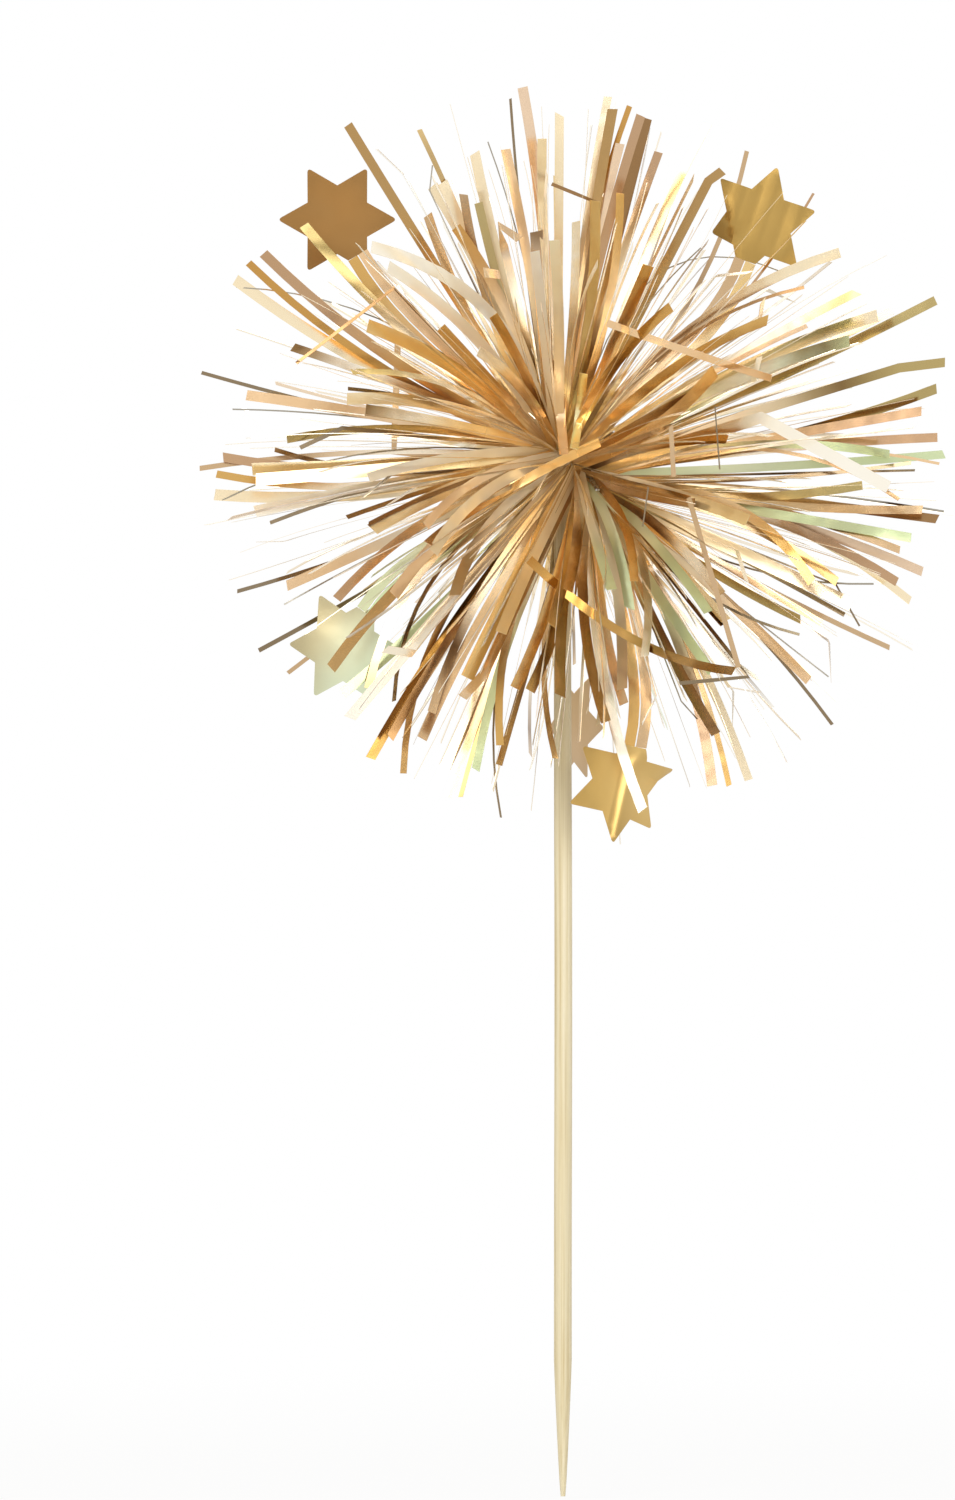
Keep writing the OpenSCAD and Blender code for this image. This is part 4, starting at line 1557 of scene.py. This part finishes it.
@dataclass
class Skewer:
    """Bamboo skewer: a hand-sharpened point, a parallel shank and a thinner head."""

    sides: int = 20
    point_z: float = -40.0
    point_d: float = 0.5
    point_len: float = 14.5
    point_swell: tuple[tuple[float, float], ...] = (
        (0.12, 0.05), (0.3, 0.06), (0.5, 0.06), (0.7, 0.05), (0.86, 0.03), (1.0, 0.0))
    shank_d: float = 1.9
    shank_len: float = 56.0
    head_z: float = 65.8
    head_d: float = 1.8
    top_z: float = 74.2
    ring_step: float = 3.5
    wander: float = 0.025
    wander_len: tuple[float, float] = (11.0, 14.0)
    ribs: int = 3
    rib_twist: float = 0.05
    fine_ribs: int = 5
    fine_phase: float = 1.3
    fine_share: float = 0.6

    def profile(self) -> list[tuple[float, float]]:
        """List the rings from the point up.

        Returns:
            Each ring's height and radius.
        """
        shank_z = self.point_z + self.point_len
        head_from = shank_z + self.shank_len
        rings = [(self.point_z, self.point_d / 2)]
        for share, swell in self.point_swell:
            radius = self.point_d / 2 + (self.shank_d - self.point_d) / 2 * share + swell
            rings.append((self.point_z + self.point_len * share, radius))
        for low, high, first, last in ((shank_z, head_from, self.shank_d, self.shank_d),
                                       (head_from, self.head_z, self.shank_d, self.head_d),
                                       (self.head_z, self.top_z, self.head_d, self.head_d)):
            count = max(1, round((high - low) / self.ring_step))
            rings += [(low + (high - low) * i / count, (first + (last - first) * i / count) / 2)
                      for i in range(1, count + 1)]
        return rings

    def build(self, material: Material) -> Obj:
        """Draw the skewer up ring by ring from its blunt end, then let it wander as split bamboo does.

        Args:
            material: The bamboo's finish.

        Returns:
            The skewer.
        """
        rings = self.profile()
        deselect()
        bpy.ops.mesh.primitive_circle_add(vertices=self.sides, radius=rings[0][1], fill_type="NGON",
                                          location=(0.0, 0.0, 0.0))
        piece = bpy.context.object
        piece.name = "bamboo_skewer"
        bpy.ops.object.mode_set(mode="EDIT")
        bpy.ops.mesh.select_all(action="SELECT")
        bpy.ops.transform.translate(value=(0.0, 0.0, rings[0][0]))
        for (low, small), (high, large) in zip(rings, rings[1:]):
            bpy.ops.mesh.extrude_region_move(TRANSFORM_OT_translate={"value": (0.0, 0.0, high - low)})
            bpy.ops.transform.resize(value=(large / small, large / small, 1.0),
                                     center_override=(0.0, 0.0, high))
        bpy.ops.mesh.select_all(action="SELECT")
        bpy.ops.mesh.normals_make_consistent(inside=False)
        bpy.ops.object.mode_set(mode="OBJECT")
        points = coordinates(piece.data)
        turn, height = np.arctan2(points[:, 1], points[:, 0]), points[:, 2]
        broad = self.wander * np.cos(self.ribs * turn + self.rib_twist * height)
        fine = self.fine_share * self.wander * np.cos(self.fine_ribs * turn + self.fine_phase)
        points[:, :2] *= (1.0 + broad + fine)[:, None]
        points[:, 0] += self.wander * np.sin(height / self.wander_len[0])
        points[:, 1] += self.wander * np.cos(height / self.wander_len[1])
        write_coordinates(piece.data, points * MM)
        bpy.ops.object.shade_smooth_by_angle(angle=SMOOTH_BELOW)
        dress(piece, material)
        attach(piece, TOPPER_BODY)
        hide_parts("skewer")
        log.info("%s: %d rings", piece.name, len(rings))
        return piece


@dataclass
class CoreWire:
    """Twisted pair of thin wires wound round the strands' waist, with two free ends at the front."""

    wound_r: float = 2.28
    pitch: float = 1.0
    turns: int = 2
    wire_d: float = 0.24
    lay_r: float = 0.13
    twists: float = 9.0
    steps: int = 160
    roundness: int = 1
    tilt: float = 0.01
    low_end: tuple[Vec, ...] = (
        (3.6, -8.6, -3.0), (3.1, -6.4, -2.0), (2.7, -3.8, -1.5), (2.4, -1.4, -1.15))
    high_end: tuple[Vec, ...] = (
        (2.5, 0.6, 1.05), (3.4, -2.2, 1.5), (4.2, -5.2, 2.1), (5.2, -8.0, 3.2))

    def route(self) -> Array:
        """Trace the pair's middle: a free end, the turns and the other free end.

        Returns:
            Points from the burst's centre.
        """
        angle = np.linspace(0.0, 2 * math.pi * self.turns, self.steps)
        coil = np.column_stack((self.wound_r * np.cos(angle), self.wound_r * np.sin(angle),
                                self.pitch * (angle / (2 * math.pi) - self.turns / 2)))
        rough = np.vstack((self.low_end, coil, self.high_end))
        run = distances(rough)
        even = np.linspace(0.0, run[-1], self.steps * 2)
        return np.column_stack([np.interp(even, run, rough[:, i]) for i in range(3)])

    def build(self, material: Material) -> Obj:
        """Twist two wires about the route and make them solid.

        Args:
            material: The wire's finish.

        Returns:
            The pair, as one piece.
        """
        route = self.route()
        ahead = unit(np.gradient(route, axis=0))
        side = unit(np.cross(ahead, UP + self.tilt))
        over = np.cross(side, ahead)
        angle = np.linspace(0.0, 2 * math.pi * self.twists, len(route))[:, None]
        swing = (side * np.cos(angle) + over * np.sin(angle)) * self.lay_r
        parts = []
        for sign in (1.0, -1.0):
            deselect()
            bpy.ops.curve.primitive_nurbs_path_add(location=(0.0, 0.0, 0.0))
            strand = bpy.context.object
            strand.data.splines.clear()
            spline = strand.data.splines.new("POLY")
            spline.points.add(len(route) - 1)
            points = (route + sign * swing + BURST_CENTRE) * MM
            spline.points.foreach_set("co", np.column_stack((points, np.ones(len(points)))).ravel())
            strand.data.bevel_depth = self.wire_d / 2 * MM
            strand.data.bevel_resolution = self.roundness
            strand.data.use_fill_caps = True
            bpy.ops.object.convert(target="MESH")
            parts.append(bpy.context.object)
        piece = join(parts, "twisted_core_wire")
        dress(piece, material)
        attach(piece, TOPPER_BODY)
        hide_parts("core_wire")
        log.info("%s: %d turns", piece.name, self.turns)
        return piece


@dataclass(frozen=True)
class SoftBox:
    """A square lamp: its name, its place, its side and its power in watts."""

    name: str
    place: Vec
    side: float
    power: float


@dataclass
class Studio:
    """Camera, pale floor, soft boxes and a white surround."""

    aim: Vec = (-9.1, 0.0, 39.5)
    view_h: float = 159.8
    lens: float = 250.0
    sensor: float = 36.0
    nearest: float = 10.0
    furthest: float = 20000.0
    floor_z: float = -40.4
    floor_size: float = 6000.0
    floor_tone: str = "f2f0ec"
    floor_clouds: Grain = ((3.0, 3.0, 3.0), 1.0)
    floor_rough: float = 0.8
    floor_rough_swing: float = 0.1
    near_white: float = 0.9
    fade_from: float = 40.0
    fade_to: float = 260.0
    surround: float = 0.4
    lit: Vec = (0.0, 0.0, 55.0)
    boxes: tuple[SoftBox, ...] = (
        SoftBox("key_softbox", (-430.0, -900.0, 540.0), 600.0, 6.0),
        SoftBox("fill_softbox", (580.0, -820.0, 160.0), 500.0, 2.6),
        SoftBox("back_softbox", (180.0, 620.0, 560.0), 700.0, 2.2))

    def camera(self) -> None:
        """Stand the camera straight in front, far off with a long lens."""
        deselect()
        away = self.lens / self.sensor * self.view_h
        x, y, z = self.aim
        bpy.ops.object.camera_add(location=(x * MM, (y - away) * MM, z * MM),
                                  rotation=(math.radians(90), 0.0, 0.0))
        made = bpy.context.object
        made.name = "camera"
        made.data.lens = self.lens
        made.data.sensor_width = self.sensor
        made.data.clip_start, made.data.clip_end = self.nearest * MM, self.furthest * MM
        bpy.context.scene.camera = made

    def seen(self, graph: Graph) -> Sock:
        """Mask the rays that should meet the white background.

        Args:
            graph: The graph that takes the mask.

        Returns:
            1 for rays straight from the camera, mirrored or passed through, and 0 for the rest.
        """
        path = graph.node("ShaderNodeLightPath")
        straight, mirrored, passed = (Sock(graph, path.outputs[name]) for name in (
            "Is Camera Ray", "Is Glossy Ray", "Is Transmission Ray"))
        return straight | mirrored | passed

    def floor(self) -> None:
        """Lay the floor just under the point; it is white to the camera and keeps a faint shadow."""
        deselect()
        bpy.ops.mesh.primitive_plane_add(size=self.floor_size * MM, location=(0.0, 0.0, self.floor_z * MM))
        sheet = bpy.context.object
        sheet.name = "studio_floor"
        made, graph = new_material("studio_floor")
        cloud = graph.grain(*self.floor_clouds)
        plain = graph.take("ShaderNodeBsdfPrincipled", "BSDF", None, {
            "Base Color": rgba(self.floor_tone),
            "Roughness": self.floor_rough + self.floor_rough_swing * cloud})
        white = graph.take("ShaderNodeEmission", "Emission", None,
                           {"Color": rgba(PURE_WHITE), "Strength": 1.0})
        place = graph.take("ShaderNodeTexCoord", "Object")
        away = graph.take("ShaderNodeVectorMath", "Value", {"operation": "LENGTH"}, {0: place})
        far = graph.take("ShaderNodeMapRange", "Result", {"interpolation_type": "SMOOTHSTEP"}, {
            "Value": away, "From Min": self.fade_from * MM, "From Max": self.fade_to * MM,
            "To Min": self.near_white, "To Max": 1.0})
        both = graph.take("ShaderNodeMixShader", "Shader", None, {
            0: far * self.seen(graph), 1: plain, 2: white})
        graph.node("ShaderNodeOutputMaterial", None, {"Surface": both})
        dress(sheet, made)

    def world(self) -> None:
        """Surround the object with white for camera and mirror rays and a softer light for the rest."""
        made = bpy.data.worlds.new("surround")
        bpy.context.scene.world = made
        made.use_nodes = True
        graph = Graph(made.node_tree)
        soft, white = (graph.take("ShaderNodeBackground", "Background", None,
                                  {"Color": rgba(PURE_WHITE), "Strength": strength})
                       for strength in (self.surround, 1.0))
        both = graph.take("ShaderNodeMixShader", "Shader", None, {0: self.seen(graph), 1: soft, 2: white})
        graph.node("ShaderNodeOutputWorld", None, {"Surface": both})

    def hang(self, box: SoftBox) -> None:
        """Hang a soft box that faces the burst.

        Args:
            box: The lamp to hang.
        """
        deselect()
        bpy.ops.object.light_add(type="AREA", location=tuple(c * MM for c in box.place))
        made = bpy.context.object
        made.name = box.name
        made.data.shape = "SQUARE"
        made.data.size = box.side * MM
        made.data.energy = box.power
        way = made.location - Vector([c * MM for c in self.lit])
        made.rotation_euler = way.to_track_quat("Z", "Y").to_euler()

    def build(self) -> None:
        """Set up the whole studio."""
        self.camera()
        self.floor()
        self.world()
        for box in self.boxes:
            self.hang(box)
        bpy.context.scene.view_settings.view_transform = "Standard"
        log.info("studio: camera, floor, surround and %d soft boxes", len(self.boxes))


def dress_glue() -> None:
    """Give the glue sleeve, which keeps its solid's shape, its cloudy finish."""
    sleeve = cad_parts["glue_sleeve"]
    made = CLOUDY_GLUE.material()
    if sleeve.material_slots:
        sleeve.material_slots[0].material = made
    else:
        sleeve.data.materials.append(made)
    log.info("glue_sleeve: dressed")


def main() -> None:
    """Build the studio and every piece of the topper."""
    logging.basicConfig(level=logging.INFO, format="%(name)s: %(message)s")
    Studio().build()
    tinsel, foil = TINSEL_FILM.material(), STAR_FILM.material()
    Skewer().build(BambooFinish().material())
    dress_glue()
    CoreWire().build(DRAWN_WIRE.material())
    stock = StripStock()
    burst = TinselBurst(stock, [np.array(p.place) for p in STAR_PLANS], [p.stem_cell for p in STAR_PLANS])
    burst.build(tinsel)
    FoilStars(stock, burst).build(foil, tinsel)
    stock.clear()


if __name__ == "__main__":
    main()
